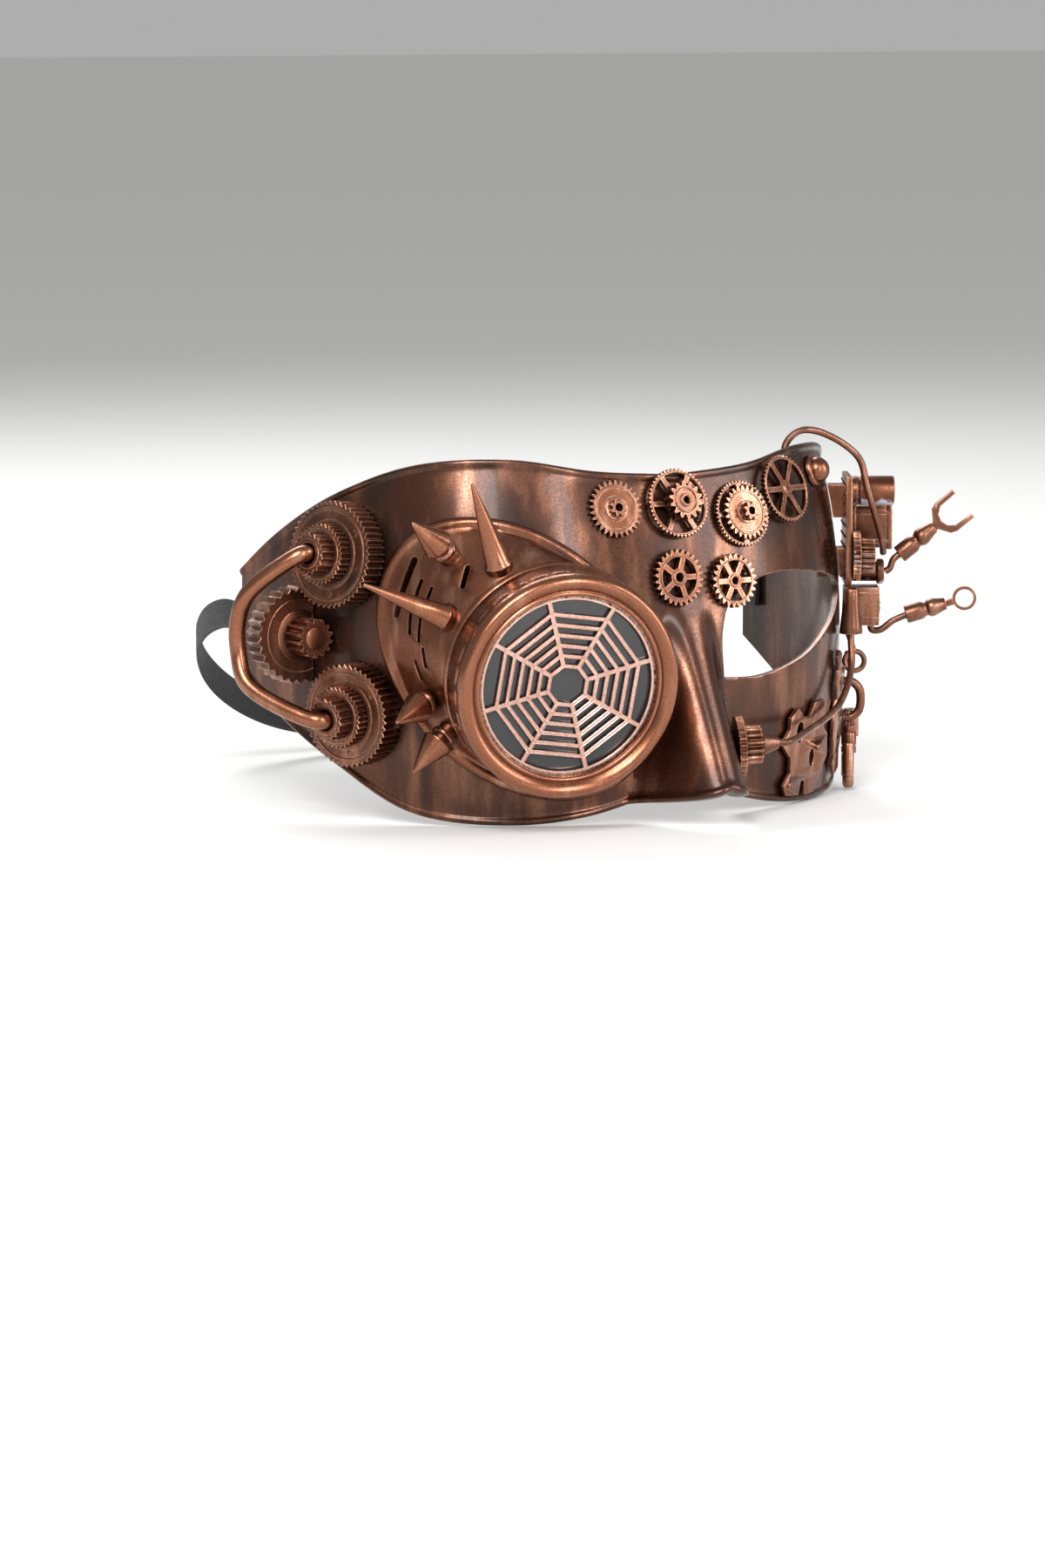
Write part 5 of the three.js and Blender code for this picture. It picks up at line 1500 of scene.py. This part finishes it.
# The cheek plates: two flat cog-edged scraps with slots and two rivet heads each, pressed on the cheek.
PLATE_THICKNESS = 1.2
FRONT_PLATE = [
    (-11.5, 2), (-8, 5.5), (-8, 9), (-4.6, 11.4), (-1.6, 8.6), (1.4, 8.8), (3.4, 12.2), (7.4, 12.6), (8.8, 9),
    (7.4, 5.6), (10.4, 3), (11, -3), (8.4, -7.4), (5.6, -12.6), (1.2, -13), (0.6, -9), (-1, -9),
    (-1.8, -12.8),
    (-7.6, -12.4), (-9.4, -9.6), (-6.6, -6.4), (-6.8, -2.4),
]
REAR_PLATE = [
    (-5.4, 17), (-3, 18.6), (0, 17.4), (0.4, 13.4), (2.4, 12), (5.4, 13.6), (6.2, 8.6), (4.4, 4), (6.4, 0.6),
    (6, -6),
    (3.6, -9.4), (4.6, -14.6), (0.4, -16), (-3.6, -13), (-2.6, -8.6), (-5, -5.6), (-4.8, 1.4), (-2.4, 4.8),
    (-3.8, 9.4), (-2.6, 13),
]
front_slots = [
    [(1.7 * x - 3.2, 2.9 * y + 4.6) for x, y in circle(28, 1)],
    [(1.2 * x + 3.4, 2.4 * y - 3) for x, y in circle(28, 1)],
]
rear_slots = [[(1.1 * x + 1.6, 3 * y + 8) for x, y in circle(16, 1)], [(1, -3), (-0.6, -6.4), (3.6, -6.4)]]
for plate_name, node_name, outline, slots, turn, z, rivets in (
    ("front_cheek_cog", "cheek_plate_front", FRONT_PLATE, front_slots, 25.3, -31,
    ((6.6, -0.6), (-6.4, -9.8))),
    ("rear_cheek_cog", "cheek_plate_rear", REAR_PLATE, rear_slots, 38.2, -25, ((3.2, -1), (-2.4, -10.6))),
):
    shapes = [plate_shape(outline, slots, 0, PLATE_THICKNESS)]
    rivet = band(0, 0.9, PLATE_THICKNESS - 0.1, PLATE_THICKNESS + 0.35, 24)
    shapes += [shifted(rivet, x, y) for x, y in rivets]
    plate = stack_piece(plate_name, shapes, skin(turn, z, GAP), outward(turn, z))
    plate = cut_to_shell(round_edges(plate, 0.25, 2, 40))
    settle(plate, gear_copper, "antique_copper", node_name)


# Small fittings down the side below the board: a wire eye, pins, a hooked tube, screws and a channel.
def loop_shape(radius, wire):
    rings = []
    for a in (2 * math.pi * i / 48 for i in range(48)):
        rings.append([
            ((radius + wire * math.cos(b)) * math.cos(a), (radius + wire * math.cos(b)) * math.sin(a),
             wire * math.sin(b))
            for b in (2 * math.pi * j / 16 for j in range(16))
        ])
    return sweep(rings, closed=True)


stem_points, stem_faces = turned_profile([(0, 0), (0.75, 0), (0.75, 5.2), (0, 5.2)], 20)
stem = placed(stem_points, (0, 2.6, 0), (0.35, 0.94, 0))
wire_loop = stack_piece("wire_eye", [loop_shape(2.7, 0.75), ([tuple(p) for p in stem], stem_faces)],
                        beside(4.1, -11.2, -3), board_back)
settle(finish_mesh(wire_loop, 50), lead_copper, "lead_copper", "wire_loop")
ribs = [(0, 0), (1.2, 0)]
for k in range(4):
    ribs += [(1.25, 0.2 + 1.2 * k), (1.5, 0.4 + 1.2 * k), (1.5, 0.65 + 1.2 * k), (1.2, 0.9 + 1.2 * k)]
fittings = [
    ("ribbed_pin_stud", "ribbed_pin", ribs + [(1.2, 4.6), (0, 4.6)], (3, -13.4, 0.4)),
    ("screw_barrel_sleeve", "screw_barrel", [
        (0, 0), (2, 0), (2.1, 0.15), (2.1, 1.6), (1.9, 1.8), (1.9, 2.1), (2.1, 2.3), (2.1, 5.5), (1.95, 5.8),
        (1.7, 6),
        (1.7, 7.45), (1.55, 7.6), (0, 7.6),
    ], (2.7, -36.6, -3.2)),
    ("round_rod_pin", "round_rod", [
        (0, 0), (0.9, 0.1), (1.3, 0.4), (1.6, 1.1), (1.6, 3), (1.45, 3.15), (1.45, 3.5), (1.6, 3.65),
        (1.6, 12),
        (1.4, 12.4), (0, 12.4),
    ], (2.3, -45.8, -7.6)),
]
for piece_name, node_name, profile, at in fittings:
    made = lathe_piece(piece_name, profile, 36, beside(*at), (0, 0, 1), board_out)
    settle(finish_mesh(made, 40), gear_copper, "antique_copper", node_name)
hook_route = [
    beside(out, z, -4.6)
    for out, z in ((0.9, -16.6), (3, -16.6), (5.2, -18.4), (5.8, -21.6), (5.2, -24.8), (3, -26.6),
    (0.9, -26.6))
]
hook_tube = round_tube("hooked_tube", hook_route, 1.2, 60, 20)
settle(finish_mesh(hook_tube, 50), lead_copper, "antique_copper", "hook_tube")
knurled = stack_piece("knurled_screw_head", [
    disc(0, 18, 2.5, 0.4, 7.2), band(0, 1.7, 7.1, 7.6, 32), disc(0, 18, 2.5, 0.4, 0.4),
], beside(3.3, -32.6, 2.2), (0, 0, 1), board_out)
settle(round_edges(knurled, 0.08, 1, 32), gear_copper, "antique_copper", "knurled_screw")
board_part("side_channel_bar", "side_channel", [
    box_shape(0.7, 6, 0, 2.6, -1.15), box_shape(0.7, 6, 0, 2.6, 1.15), box_shape(3, 6, 0, 0.9),
], 1, -40.6, 1, "antique_copper", bevel=0.12, paint=gear_copper)


# The strap tabs: a black plastic tongue glued inside each end of the shell, with a ridged grip face.
# The strap runs on from its end.
def tab_plastic():
    """Black injection-moulded plastic with a fine spark-eroded grain."""
    made, tree, shader = new_material("black_tab_plastic")
    at = tree.nodes.new("ShaderNodeTexCoord").outputs["Object"]
    grain = noise(tree, at, 2600, 2)
    cloud = noise(tree, at, 180, 3)
    black = mixed(tree, cloud, (0.012, 0.011, 0.011, 1), (0.03, 0.028, 0.028, 1))
    link(tree, black, shader.inputs["Base Color"])
    link(tree, ranged(tree, grain, 0.3, 0.7, 0.38, 0.55), shader.inputs["Roughness"])
    bump = tree.nodes.new("ShaderNodeBump")
    bump.inputs["Distance"].default_value = 0.00004
    link(tree, grain, bump.inputs["Height"])
    link(tree, bump.outputs["Normal"], shader.inputs["Normal"])
    return made


black_plastic = tab_plastic()
for side, node_name in ((1, "strap_tab_left"), (-1, "strap_tab_right")):
    low, high = (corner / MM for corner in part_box(node_name))
    centre = (low + high) / 2
    size = high - low
    shapes = [box_shape(size.y, size.z, -size.x / 2, size.x / 2)]
    for k in range(6):
        shapes.append(box_shape(0.55, size.z - 1.6, -size.x / 2 - 0.25, -size.x / 2 + 0.2, -4 + 1.5 * k))
    inward = Vector((-side, 0, 0))
    made = stack_piece(node_name + "_tongue", shapes, centre, -inward)
    made = cut_to_shell(round_edges(made, 0.25, 2, 40))
    settle(made, black_plastic, "black_tab", node_name)
